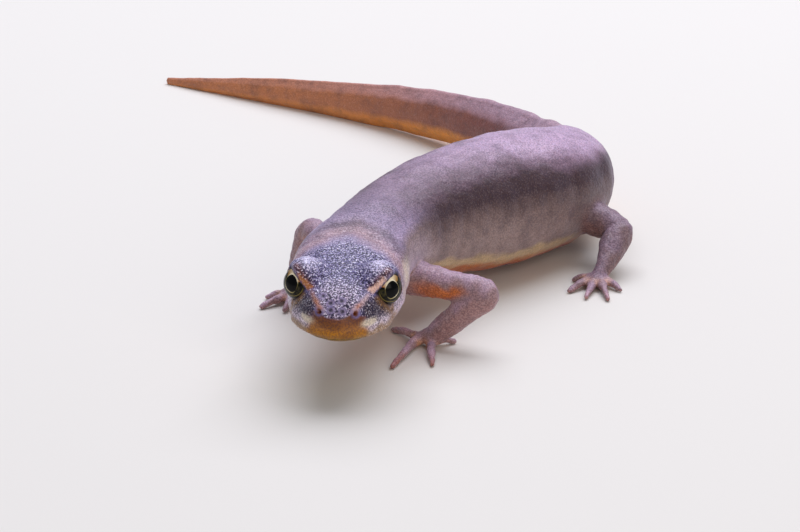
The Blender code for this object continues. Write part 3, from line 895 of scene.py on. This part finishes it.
# Colours of the back, flank, belly and tail by their height on the body; the pale top of the back is its
# dorsal band with a painted lavender sky sheen
def trunkTint(points, along, rise):
    look = skinFinish
    height = rise + 0.035 * lumps(points, 3.1, 11) + 0.03 * lumps(points, 1.1, 12)
    # the pale top reaches lower towards the rump, a painted sheen where the back turns away
    height = height + 0.22 * fade(along, 26.0, 36.0) * fade(rise, 0.2, 0.7)
    trunk = bandColours(height, (
        (-0.95, look["belly"]), (-0.80, look["belly"]), (-0.68, look["lowerLine"]),
        (-0.60, look["lowerLine"]), (-0.48, look["flankLow"]), (-0.20, look["flankLow"]),
        (0.10, look["flank"]), (0.40, look["backDark"]), (0.60, look["backDark"]),
        (0.82, look["backSide"]), (1.0, look["back"])))
    trunk = painted(trunk, 0.45 * fade(along, 29.0, 36.0) * fadeOut(height, 0.6, 0.9), look["backDark"])
    tail = bandColours(height, (
        (-0.95, look["tailLow"]), (-0.62, look["tailLow"]), (-0.26, look["tail"]), (0.75, look["tail"]),
        (1.05, look["tailTop"])))
    nape = bandColours(height, (
        (-0.80, look["belly"]), (-0.55, look["lowerLine"]), (-0.30, look["cheek"]), (0.35, look["flankLow"]),
        (0.60, look["nape"]), (0.95, look["nape"])))
    tint = nape + (trunk - nape) * fade(along, 12.0, 19.0)[:, None]
    tint = painted(tint, 0.5 * bell(along - 18.0, 6.5) * fade(height, 0.55, 0.85), look["backDark"])
    tail = painted(tail, 0.8 * fade(along, 50.0, 80.0), look["tailFar"])
    tail = painted(tail, 0.6 * fadeOut(along, 40.0, 54.0) * fade(height, -0.5, 0.2), look["tailTop"])
    return tint + (tail - tint) * fade(along, 37.0, 45.0)[:, None]


# The dark speckled lore between the eye and the nostril, below the ridge
def loreShare(points, hand):
    rear, front = (placeAt(along, across * hand, above) for along, across, above in headMarks["lore"])
    return fadeOut(segmentDistance(points, rear, front), *headMarks["loreFades"])


# The lids' own markings: the dark lore, brown above the upper lid, the ridge to the nostril and the pale
# patch beside it
def lidTint(tint, smooth, points, hand, nostril):
    look = skinFinish
    local = aboutEye(points, hand)
    rearward = local[:, 0]
    upward = local[:, 2]
    distance = np.linalg.norm(local, axis=1)
    upperLid = upperLidDistance(local)
    blotch = lumps(points, 0.5, 23)
    tint = painted(tint, 0.95 * loreShare(points, hand), look["lore"])
    front = fade(-rearward, 0.10, 0.45) * fadeOut(-rearward, 1.5, 2.0)
    brown = bell(upperLid - 0.38, 0.26) * fade(upward, 0.3, 0.7)
    tint = painted(tint, 0.85 * front * brown, look["browBrown"])
    ridge = ridgeDistance(points, nostril, hand) + 0.03 * blotch
    nearNose = fadeOut(distanceTo(points, nostril), 0.35, 1.1)
    # the ridge's colour is lighter on the animal's left and darker on its right: painted light and painted
    # shade
    tint = painted(tint, 0.75 * bell(ridge, 0.19), look["ridge"][hand])
    tint = painted(tint, 0.8 * bell(ridge, 0.14) * nearNose, look["ridgeEnd"])
    patch = fade(-rearward, 0.88, 1.12) * fadeOut(-rearward, 1.45, 1.75) * fade(upperLid, 0.03, 0.08)
    edge = 0.17 + 0.24 * fade(-rearward, 0.95, 1.5) - 0.05 * blotch
    patch *= fadeOut(upperLid - edge, 0.0, 0.16)
    patch *= fadeOut(distance, 1.75, 2.1)
    # the patch's colour, lighter on the animal's left and darker on its right, is painted light and painted
    # shade
    tint = painted(tint, patch, look["patch"][hand])
    smooth = np.maximum(smooth, np.maximum(0.8 * patch, bell(ridge, 0.19) * 0.7))
    return tint, smooth


# The head's markings with its painted highlights and shade, drawn over the trunk's colours, and how thickly
# black specks and pale glint specks lie
def headTint(tint, points, local, nostrils, pores):
    look = skinFinish
    marks = headMarks
    along, across, above, rise = local.T
    side = np.abs(across)
    blotch = lumps(points, 0.9, 21)
    gap = above - mouthLevel(along)
    speckled = fadeOut(along + marks["capLean"] * side + 0.14 * blotch, *marks["capEnds"])
    # chevron of smooth pink behind the head, with painted shade in the crease after it
    chevron = along + marks["capLean"] * side + 0.12 * blotch
    napeBand = bell(chevron - marks["bandAt"], marks["bandWidth"])
    tint = painted(tint, 0.85 * napeBand * fade(rise, 0.0, 0.35), look["napeBand"])
    crease = along + marks["creaseLean"] * side + 0.08 * blotch
    crease = bell(crease - marks["creaseAt"], marks["creaseWidth"])
    # painted shade in the crease, in the back's dark colour
    tint = painted(tint, 0.5 * crease * fade(rise, -0.1, 0.3), look["backDark"])
    tint = painted(tint, speckled * fade(rise, 0.0, 0.4), look["crown"])
    # a painted sheen over the crown's hind part, in the colour of the brows' highlight
    tint = painted(tint, 0.22 * speckled * fade(along, 5.5, 8.0) * fade(rise, 0.3, 0.7), look["brow"])
    front = fadeOut(along, 1.6, 3.6) * fadeOut(side, 0.9, 1.6)
    tint = painted(tint, speckled * front, look["crownFront"])
    # cheeks and lores, and the smooth pale band behind the eye
    tint = painted(tint, speckled * fadeOut(rise, 0.1, 0.55), look["cheek"])
    band = bell(along - 8.9 + 0.2 * blotch, 3.1) * bell(above - 1.1 + 0.2 * blotch, 1.7)
    band *= fade(side, 3.2, 4.2)
    tint = painted(tint, 0.95 * fade(band, 0.1, 0.7), look["cheekBand"])
    smooth = fade(band, 0.3, 0.8)
    # a painted highlight on the tops of the brows
    brow = np.zeros(len(points))
    for hand in (1, -1):
        rearward, outward, upward = aboutEye(points, hand).T
        overEye = bell(rearward - 0.2, 1.1) * bell(outward + 0.35, 0.75) * fade(upward, 0.7, 1.2)
        brow = np.maximum(brow, overEye)
    tint = painted(tint, 0.8 * brow, look["brow"])
    for hand, nostril in zip((1, -1), nostrils):
        tint, smooth = lidTint(tint, smooth, points, hand, nostril)
    # rust on the snout's front, olive brown along the lips, and a soft pale patch at each side
    rust = fade(marks["rustTop"] + 0.12 * blotch - 0.10 * fade(side, 1.2, 2.2) - above, -0.06, 0.12)
    rust *= fadeOut(along + 0.6 * side + 0.15 * blotch, *marks["rustEnds"])
    rustTint = bandColours(above, ((-0.4, look["rustLow"]), (0.1, look["rust"]), (0.9, look["rustHigh"])))
    lip = fadeOut(gap + 0.06 * blotch, 0.40, 0.85) * fadeOut(along, 3.8, 6.0)
    tint = painted(tint, 0.85 * lip, look["lipSide"])
    tint = tint + (rustTint - tint) * (0.95 * rust)[:, None]
    tint = painted(tint, 0.4 * fade(blotch, 0.3, 1.1) * rust, look["rustDark"])
    smooth = np.maximum(smooth, 0.75 * np.maximum(rust, 0.6 * lip))
    creamAcross, creamAbove = marks["cream"]
    creamWide, creamHigh = marks["creamSize"]
    level = bell(above - creamAbove, creamHigh)
    smooth = np.maximum(smooth, 0.7 * fade(bell(side - creamAcross, creamWide) * level, 0.2, 0.7))
    cream = bell(side - creamAcross + 0.1 * blotch, creamWide) * level * fadeOut(along, 2.4, 3.2)
    tint = painted(tint, 0.9 * fade(cream, 0.05, 0.9), look["cream"])
    jaw = fadeOut(gap, -0.10, -0.02) * fadeOut(along, 7.0, 9.5)
    tint = painted(tint, jaw, look["jaw"])
    # painted shade along the mouth's groove
    tint = painted(tint, 0.85 * bell(gap, 0.06) * fadeOut(along, *marks["mouthEnds"]), look["mouth"])
    smooth = np.maximum(smooth, 0.6 * jaw)
    # painted highlight on each nostril's lower rim, and painted shade inside it
    for nostril in nostrils:
        hole = distanceTo(points, nostril)
        radius = relief["nostrilRadius"]
        below = fade(nostril[2] + 0.12 - points[:, 2], 0.0, 0.15)
        tint = painted(tint, 0.8 * bell(hole - radius * 1.9, 0.08) * below, look["rimHighlight"])
        tint = painted(tint, fadeOut(hole, radius * 0.9, radius * 1.5), look["nostril"])
        smooth = np.maximum(smooth, fadeOut(hole, radius * 2.4, radius * 3.2))
    # painted highlight on each pore's rim, and painted shade in its cup
    for pore in pores:
        hole = distanceTo(points, pore)
        tint = painted(tint, 0.5 * bell(hole - 0.24, 0.08), look["rimHighlight"])
        tint = painted(tint, 0.9 * fadeOut(hole, 0.09, 0.19), look["darkSpeck"])
        smooth = np.maximum(smooth, 0.9 * fadeOut(hole, 0.22, 0.32))
    # the lids' rims, brown below and near black where they meet the ball
    for hand in (1, -1):
        outside = lidDistance(points, hand)
        about = aboutEye(points, hand)
        near = fadeOut(np.linalg.norm(about, axis=1), 2.1, 2.4)
        under = fadeOut(upperLidDistance(about), -0.35, -0.05)
        tint = painted(tint, bell(outside - 0.15, 0.16) * near * under, look["lidRim"])
        tint = painted(tint, fadeOut(outside, -0.02, 0.05) * near, look["dark"])
        smooth = np.maximum(smooth, bell(outside, 0.12) * near)
    thinning = 0.45 * fadeOut(chevron, 9.6, 15.0)
    darkSpecks = np.maximum(speckled, thinning) * (1.0 - 0.9 * smooth)
    darkSpecks = darkSpecks * (0.65 + 0.35 * fade(rise, -0.1, 0.4)) * (1.0 - 0.45 * brow)
    darkSpecks = np.maximum(darkSpecks, 0.38 * rust)
    # pale specks are painted glints, more of them on upward surfaces and over the brows' highlight
    paleGlintSpecks = np.maximum(speckled, 0.7 * thinning) * (1.0 - smooth)
    paleGlintSpecks = paleGlintSpecks * (0.5 + 0.5 * fade(rise, -0.2, 0.5)) + 0.2 * brow
    for hand in (1, -1):
        paleGlintSpecks *= 1.0 - 0.5 * loreShare(points, hand)
        darkSpecks = np.maximum(darkSpecks, 0.95 * loreShare(points, hand) * speckled * (1.0 - smooth))
    paleGlintSpecks *= 1.0 - rust
    return tint, darkSpecks, paleGlintSpecks


def perMetre(size):
    return 1.0 / (size * mm)


# The finish reads four values kept on the skin: its tint and the shares of specks, mottles and belly spots
def makeSkinFinish():
    look = skinFinish
    material, tree, shader = newFinish("moist granular newt skin", look["surface"])
    place = addNode(tree, "ShaderNodeTexCoord").outputs["Object"]
    tint = addNode(tree, "ShaderNodeAttribute", attribute_name="tint").outputs["Color"]
    shares = {}
    for name in ("darkSpecks", "paleGlintSpecks", "mottles", "bellySpots"):
        shares[name] = addNode(tree, "ShaderNodeAttribute", attribute_name=name).outputs["Fac"]
    specks = addNode(tree, "ShaderNodeTexNoise",
                     {"Vector": place, "Scale": perMetre(look["speckMm"]), "Detail": 1.5, "Roughness": 0.6})
    mottles = addNode(tree, "ShaderNodeTexNoise",
                      {"Vector": place, "Scale": perMetre(look["mottleMm"]),
                       "Detail": 5.0, "Roughness": 0.65})
    spots = addNode(tree, "ShaderNodeTexVoronoi", {"Vector": place, "Scale": perMetre(look["spotMm"])})
    # black specks lie where the noise is low, and pale specks, as painted glints, where it is high
    layers = (
        ("mottles", mottles.outputs["Fac"], ((0.45, 0.0), (0.70, 0.7)), look["mottle"]),
        ("bellySpots", spots.outputs["Distance"], ((0.20, 1.0), (0.30, 0.0)), look["bellySpot"]),
        ("darkSpecks", specks.outputs["Fac"], ((0.46, 0.97), (0.52, 0.0)), look["darkSpeck"]),
        ("paleGlintSpecks", specks.outputs["Fac"], ((0.58, 0.0), (0.66, 1.0)), look["paleGlintSpeck"]),
    )
    for name, pattern, stops, code in layers:
        shape = addNode(tree, "ShaderNodeValToRGB", {"Fac": pattern}, stops)
        share = addNode(tree, "ShaderNodeMath",
                        {0: shape.outputs["Color"], 1: shares[name]}, operation="MULTIPLY")
        mixed = addNode(tree, "ShaderNodeMix", {0: share.outputs[0], 6: tint, 7: code}, data_type="RGBA")
        tint = mixed.outputs[2]
    tree.links.new(tint, shader.inputs["Base Color"])
    grains = addNode(tree, "ShaderNodeTexVoronoi", {"Vector": place, "Scale": perMetre(look["grainMm"])})
    warts = addNode(tree, "ShaderNodeTexNoise",
                    {"Vector": place, "Scale": perMetre(look["wartMm"]), "Detail": 2.0, "Roughness": 0.5})
    coarse = addNode(tree, "ShaderNodeBump",
                     {"Height": warts.outputs["Fac"], "Strength": 0.7, "Distance": look["wartHigh"] * mm})
    bump = addNode(tree, "ShaderNodeBump",
                   {"Height": grains.outputs["Distance"], "Normal": coarse.outputs["Normal"],
                    "Strength": 0.6, "Distance": look["grainHigh"] * mm}, invert=True)
    tree.links.new(bump.outputs["Normal"], shader.inputs["Normal"])
    return material


# The eye: a glassy cornea over a black pupil, a thin pale ring and an iris of gold over olive-black
eyeFinish = {
    "pupil": "#020203",
    "ring": "#6b6136",
    "ringMiddle": "#b3a56f",
    "ringLight": "#f3e8c8",
    "copper": "#c07a3e",
    "gold": "#f2e2c0",
    "goldRear": "#96713a",
    "dark": "#100f09",
    "fleck": "#3b371d",
    "crescent": "#75683a",
    "outer": "#0c0806",
    "grainMm": 0.2,
    # the pale ring's outer edge, as a share of the pupil's size
    "ringShare": 1.10,
    # angles from the pupil's middle to the iris's edge, at the front and at the rear
    "irisEdge": math.radians(46.0),
    "irisEdgeRear": math.radians(57.0),
    # the cornea swells by this share of the radius, and is as glossy as a film of water
    "cornea": 0.015,
    "surface": {
        "Roughness": 0.22,
        "Specular IOR Level": 0.1,
        "Coat Weight": 0.12,
        "Coat IOR": 1.34,
        "Coat Roughness": 0.03,
    },
}


def saveColours(mesh, name, colours):
    whole = np.hstack((colours, np.ones((len(colours), 1)))).astype(np.float32)
    mesh.attributes.new(name, "FLOAT_COLOR", "POINT").data.foreach_set("color", whole.ravel())


def makeEye(name, hand, finish):
    rearwards, outwards, upwards = eye["looks"][hand]
    look = headDirection(rearwards, outwards * hand, upwards)
    forward, side, up = headAxes()
    level = unit(np.cross(look, up))
    top = np.cross(level, look)
    bm = bmesh.new()
    bmesh.ops.create_uvsphere(bm, u_segments=96, v_segments=96, radius=1.0)
    mesh = bpy.data.meshes.new(name)
    bm.to_mesh(mesh)
    bm.free()
    away = unit(vertexPoints(mesh))
    # the turn about the pupil is 0 degrees towards the snout and 90 upwards
    snoutward = away[:, 0] * (-1.0 if level @ forward > 0 else 1.0)
    turn = np.degrees(np.arctan2(away[:, 1], snoutward))
    lean = eye["pupilLean"]
    wide = (snoutward * math.cos(lean) + away[:, 1] * math.sin(lean)) / math.sin(eye["pupilAcross"])
    high = (away[:, 1] * math.cos(lean) - snoutward * math.sin(lean)) / math.sin(eye["pupilHigh"])
    power = eye["pupilPower"]
    pupil = (np.abs(wide) ** power + np.abs(high) ** power) ** (1.0 / power)
    saveValues(mesh, "pupil", np.where(away[:, 2] > 0, pupil, 9.0))
    saveValues(mesh, "gold", fade(turn, 8.0, 34.0) * fadeOut(turn, 124.0, 150.0))
    saveValues(mesh, "below", fade(-away[:, 1], -0.05, 0.25))
    rearward = fade(-snoutward, -0.1, 0.6)
    edge = eyeFinish["irisEdge"] + (eyeFinish["irisEdgeRear"] - eyeFinish["irisEdge"]) * rearward
    saveValues(mesh, "fromEdge", np.arccos(np.clip(away[:, 2], -1.0, 1.0)) - edge)
    saveColours(mesh, "wedgeTint", bandColours(turn, (
        (22.0, eyeFinish["copper"]), (50.0, eyeFinish["gold"]), (98.0, eyeFinish["gold"]),
        (130.0, eyeFinish["goldRear"]))))
    saveColours(mesh, "ringTint", bandColours(turn, (
        (-180.0, eyeFinish["ring"]), (-120.0, eyeFinish["ringLight"]), (-85.0, eyeFinish["ringMiddle"]),
        (-45.0, eyeFinish["dark"]), (10.0, eyeFinish["ring"]), (36.0, eyeFinish["ringLight"]),
        (110.0, eyeFinish["ringLight"]), (150.0, eyeFinish["ring"]), (180.0, eyeFinish["ring"]))))
    # the ball's own axis turns to where the eye looks, and the cornea swells a little there
    swell = eye["radius"] * (1.0 + eyeFinish["cornea"] * fade(away[:, 2], 0.75, 1.0))
    middle = eyeMiddle(hand)
    turned = np.stack((level, top, look))
    setPoints(mesh, ((away * swell[:, None]) @ turned + middle + frameShift) * mm)
    made = addToScene(bpy.data.objects.new(name, mesh))
    turnOutwards(made)
    mesh.shade_smooth()
    mesh.materials.append(finish)
    return made


def makeEyeFinish():
    look = eyeFinish
    material, tree, shader = newFinish("wet cornea over gold and black iris", look["surface"])
    place = addNode(tree, "ShaderNodeTexCoord").outputs["Object"]
    kept = {}
    for name in ("pupil", "gold", "below", "fromEdge"):
        kept[name] = addNode(tree, "ShaderNodeAttribute", attribute_name=name).outputs["Fac"]
    wedge = addNode(tree, "ShaderNodeAttribute", attribute_name="wedgeTint").outputs["Color"]
    ring = addNode(tree, "ShaderNodeAttribute", attribute_name="ringTint").outputs["Color"]
    grain = addNode(tree, "ShaderNodeTexNoise",
                    {"Vector": place, "Scale": perMetre(look["grainMm"]), "Detail": 3.0})
    # flecks on the dark iris, and the gold wedge with a ragged edge
    flecks = addNode(tree, "ShaderNodeValToRGB", {"Fac": grain.outputs["Fac"]}, ((0.48, 0.0), (0.62, 1.0)))
    ragged = addNode(tree, "ShaderNodeMath",
                     {0: grain.outputs["Fac"], 1: 0.8, 2: kept["gold"]}, operation="MULTIPLY_ADD")
    share = addNode(tree, "ShaderNodeMapRange", {0: ragged.outputs[0], 1: 0.80, 2: 1.0})
    # beyond the iris's edge the ball is near black, with a thin olive crescent along its lower edge
    beyond = addNode(tree, "ShaderNodeMapRange", {0: kept["fromEdge"], 1: 0.0, 2: 0.08})
    off = addNode(tree, "ShaderNodeMath", {0: kept["fromEdge"]}, operation="ABSOLUTE")
    line = addNode(tree, "ShaderNodeMapRange", {0: off.outputs[0], 1: 0.05, 2: 0.02})
    lowLine = addNode(tree, "ShaderNodeMath", {0: line.outputs[0], 1: kept["below"]}, operation="MULTIPLY")
    within = addNode(tree, "ShaderNodeMapRange",
                     {0: kept["pupil"], 1: look["ringShare"] + 0.03, 2: look["ringShare"]})
    hole = addNode(tree, "ShaderNodeMapRange", {0: kept["pupil"], 1: 1.02, 2: 0.99})
    layers = (
        (flecks.outputs["Color"], look["fleck"]),
        (share.outputs[0], wedge),
        (beyond.outputs[0], look["outer"]),
        (lowLine.outputs[0], look["crescent"]),
        (within.outputs[0], ring),
        (hole.outputs[0], look["pupil"]),
    )
    colour = look["dark"]
    for mask, over in layers:
        colour = addNode(tree, "ShaderNodeMix", {0: mask, 6: colour, 7: over}, data_type="RGBA").outputs[2]
    tree.links.new(colour, shader.inputs["Base Color"])
    return material


# Pinkish-grey legs, orange under the upper length, with paler hands and redder fingertips, a painted
# lavender sheen on their upward faces, painted shade on the hind legs and painted light near the floor
def legTint(points, normals):
    look = skinFinish
    tint = np.tile(np.array(srgb(look["limb"])[:3]), (len(points), 1))
    orange = np.zeros(len(points))
    palms = np.full(len(points), 99.0)
    web = np.zeros(len(points))
    for root, joint, wrist, palm in (np.array(places) for places in legs.values()):
        line = joint - root
        share = (points - root) @ line / (line @ line)
        upper = segmentDistance(points, root, joint)
        lower = segmentDistance(points, joint, wrist)
        near = fadeOut(upper, 1.3, 1.7) * fade(lower - upper, 0.0, 0.5)
        near *= fadeOut(points[:, 1], 18.0, 22.0)
        orange = np.maximum(orange, near * fade(share, 0.12, 0.42))
        web = np.maximum(web, bell(np.linalg.norm(points - palm - (0.0, 0.0, 0.1), axis=1) - 0.85, 0.3))
        palms = np.minimum(palms, distanceTo(points, palm))
    beneath = fade(-0.75 * normals[:, 2] - 0.40 * normals[:, 1] + 0.10 * lumps(points, 0.9, 33), -0.02, 0.50)
    low = fadeOut(points[:, 2], 0.35, 0.9)
    # painted lavender sky sheen on the upward faces
    tint = painted(tint, 0.55 * fade(normals[:, 2] + 0.3 * lumps(points, 1.6, 31), 0.1, 1.2), look["back"])
    # painted shade darkens the hind legs, and painted light brightens the parts near the floor
    tint *= 1.0 - 0.42 * fade(points[:, 1], 18.0, 24.0)[:, None] + 0.22 * low[:, None]
    tint = painted(tint, 0.12 * beneath, look["limbUnder"])
    tint = painted(tint, 0.95 * beneath * orange, look["limbUnder"])
    tint = painted(tint, 0.8 * web * low, look["hand"])
    return painted(tint, 0.7 * low * fade(palms, 2.2, 4.2) * fadeOut(palms, 5.2, 5.8), look["finger"])


def makeSkin():
    skin, local = makeBodySkin()
    points = vertexPoints(skin.data)
    for hand in (1, -1):
        points = raiseLids(points, hand)
    setPoints(skin.data, points)
    tree = skinTree(skin)
    nostrils = nostrilPlaces(tree)
    pores = porePlaces(tree)
    normals = vertexNormals(skin.data)
    along, across, above, rise = local.T
    tint, darkSpecks, paleGlintSpecks = headTint(trunkTint(points, along, rise), points, local, nostrils, pores)
    points = points + normals * skinRelief(points, local, nostrils)[:, None]
    points = sinkPits(points, normals, nostrils, pores)
    rims = np.zeros(len(points))
    for hand in (1, -1):
        near = fadeOut(np.linalg.norm(aboutEye(points, hand), axis=1), 2.0, 2.4)
        rims = np.maximum(rims, bell(lidDistance(points, hand) - 0.08, 0.22) * near)
        points = openLids(points, hand)
    points = smoothed(points, linkedPairs(skin.data), 0.8 * rims, lids["rimRounds"])
    setPoints(skin.data, points)
    finish = makeSkinFinish()
    made = [makeLeg(leg, finish) for leg in legs]
    print("body and legs:", len(points), [len(leg.data.vertices) for leg in made], "points")
    legPoints = np.vstack([vertexPoints(leg.data) for leg in made])
    joinLegs(skin, made)
    mesh = skin.data
    final = vertexPoints(mesh)
    normals = vertexNormals(mesh)
    bodyTree = pointTree(points)
    nearest = np.array([bodyTree.find(point)[1:] for point in final])
    source = nearest[:, 0].astype(int)
    onBody = nearest[:, 1] < legShape["samePoint"]
    legTree = pointTree(legPoints)
    toLeg = np.array([legTree.find(point)[2] for point in final])
    onLeg = (toLeg < legShape["samePoint"]) & ~onBody
    joint = ~onBody & ~onLeg
    pairs = linkedPairs(mesh)
    seam = pointTree(final[joint])
    seamDistance = np.array([seam.find(point)[2] for point in final])
    weight = fadeOut(seamDistance, 0.25, legShape["fuse"])
    final = smoothed(final, pairs, weight, legShape["fuseRounds"])
    everywhere = np.ones(len(final))
    limb = smoothed((onLeg | joint).astype(float), pairs, everywhere, legShape["blendRounds"])[:, None]
    final = final + normals * limb * (0.03 * lumps(final, 0.9, 41) + 0.015 * lumps(final, 0.45, 42))[:, None]
    final = restOnFloor(final)
    tint = tint[source] * (1.0 - limb) + legTint(final, normals) * limb
    limb = limb[:, 0]
    rise = rise[source]
    trunk = fade(along[source], 9.0, 14.0)
    belly = fadeOut(rise, -0.72, -0.55) * trunk * fadeOut(along[source], 36.0, 42.0) * (1.0 - limb)
    neck = bell(along[source] - 10.5, 3.0) * fade(rise, -0.4, 0.1)
    grainy = trunk * (1.0 - 0.6 * fade(along[source], 40.0, 60.0)) * (0.30 + 0.10 * rise) + 0.35 * neck
    saveValues(mesh, "darkSpecks", np.maximum(darkSpecks[source], grainy) * (1.0 - limb) + 0.35 * limb)
    saveValues(mesh, "paleGlintSpecks", np.maximum(paleGlintSpecks[source], 0.05 * trunk) * (1.0 - limb) + 0.06 * limb)
    mottled = np.maximum(0.6 * trunk, 0.7 * neck) * (1.0 - belly)
    saveValues(mesh, "mottles", mottled * (1.0 - limb) + 0.35 * limb)
    saveValues(mesh, "bellySpots", belly)
    saveColours(mesh, "tint", tint)
    setPoints(mesh, (final + frameShift) * mm)
    mesh.shade_smooth()
    mesh.materials.clear()
    mesh.materials.append(finish)
    print("skin:", sum(len(face.vertices) - 2 for face in mesh.polygons), "triangles")
    return skin


skin = makeSkin()
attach(skin, "root")
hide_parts(*[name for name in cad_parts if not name.startswith("eye_")])

eyeGlass = makeEyeFinish()
for name, hand in (("left", 1), ("right", -1)):
    ball = makeEye(name + "Eye", hand, eyeGlass)
    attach(ball, "root")
    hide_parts("eye_" + name)
print("eyes done")

# Pale floor, soft studio light, and the camera where the photo's was
studio = {
    "floorHalf": 1.5,
    "floor": {"Base Color": "#e0ddd7", "Roughness": 0.9},
    "world": "#e3e8f2",
    "worldStrength": 0.38,
    # the lights' places and sizes in metres, their watts and colours
    "lights": {
        "softbox above": ((0.05, 0.15, 0.34), 0.40, 1.85, "#f4f4ff"),
        "fill in front": ((0.16, -0.34, 0.20), 0.22, 0.40, "#fff2e4"),
    },
    # the camera's place in mm on the animal's own axes
    "cameraPlace": (3.555, -221.097, 90.084),
    "cameraTilt": math.radians(70.0),
    "lens": 171.0,
}


def makeFloor():
    finish = newFinish("matt pale paper", studio["floor"])[0]
    half = studio["floorHalf"]
    corners = [(-half, -half, 0.0), (half, -half, 0.0), (half, half, 0.0), (-half, half, 0.0)]
    floor = meshObject("floor", corners, [(0, 1, 2, 3)])
    floor.data.materials.append(finish)


def addLight(name, place, size, watts, colour):
    lamp = bpy.data.lights.new(name, "AREA")
    lamp.size = size
    lamp.energy = watts
    lamp.color = srgb(colour)[:3]
    holder = addToScene(bpy.data.objects.new(name, lamp))
    holder.location = place
    holder.rotation_euler = (-Vector(place)).to_track_quat("-Z", "Y").to_euler()


makeFloor()
for name, (place, size, watts, colour) in studio["lights"].items():
    addLight(name, place, size, watts, colour)
world = bpy.data.worlds.new("soft room")
world.use_nodes = True
sky = world.node_tree.nodes["Background"]
sky.inputs["Color"].default_value = srgb(studio["world"])
sky.inputs["Strength"].default_value = studio["worldStrength"]
bpy.context.scene.world = world
# colours come out as the hex values say, without a film's own curve
bpy.context.scene.view_settings.view_transform = "Standard"

lens = bpy.data.cameras.new("camera")
lens.lens = studio["lens"]
lens.sensor_width = 36.0
lens.clip_start = 0.01
camera = addToScene(bpy.data.objects.new("camera", lens))
camera.location = (np.array(studio["cameraPlace"]) + frameShift) * mm
camera.rotation_euler = (studio["cameraTilt"], 0.0, 0.0)
bpy.context.scene.camera = camera
print("studio done")
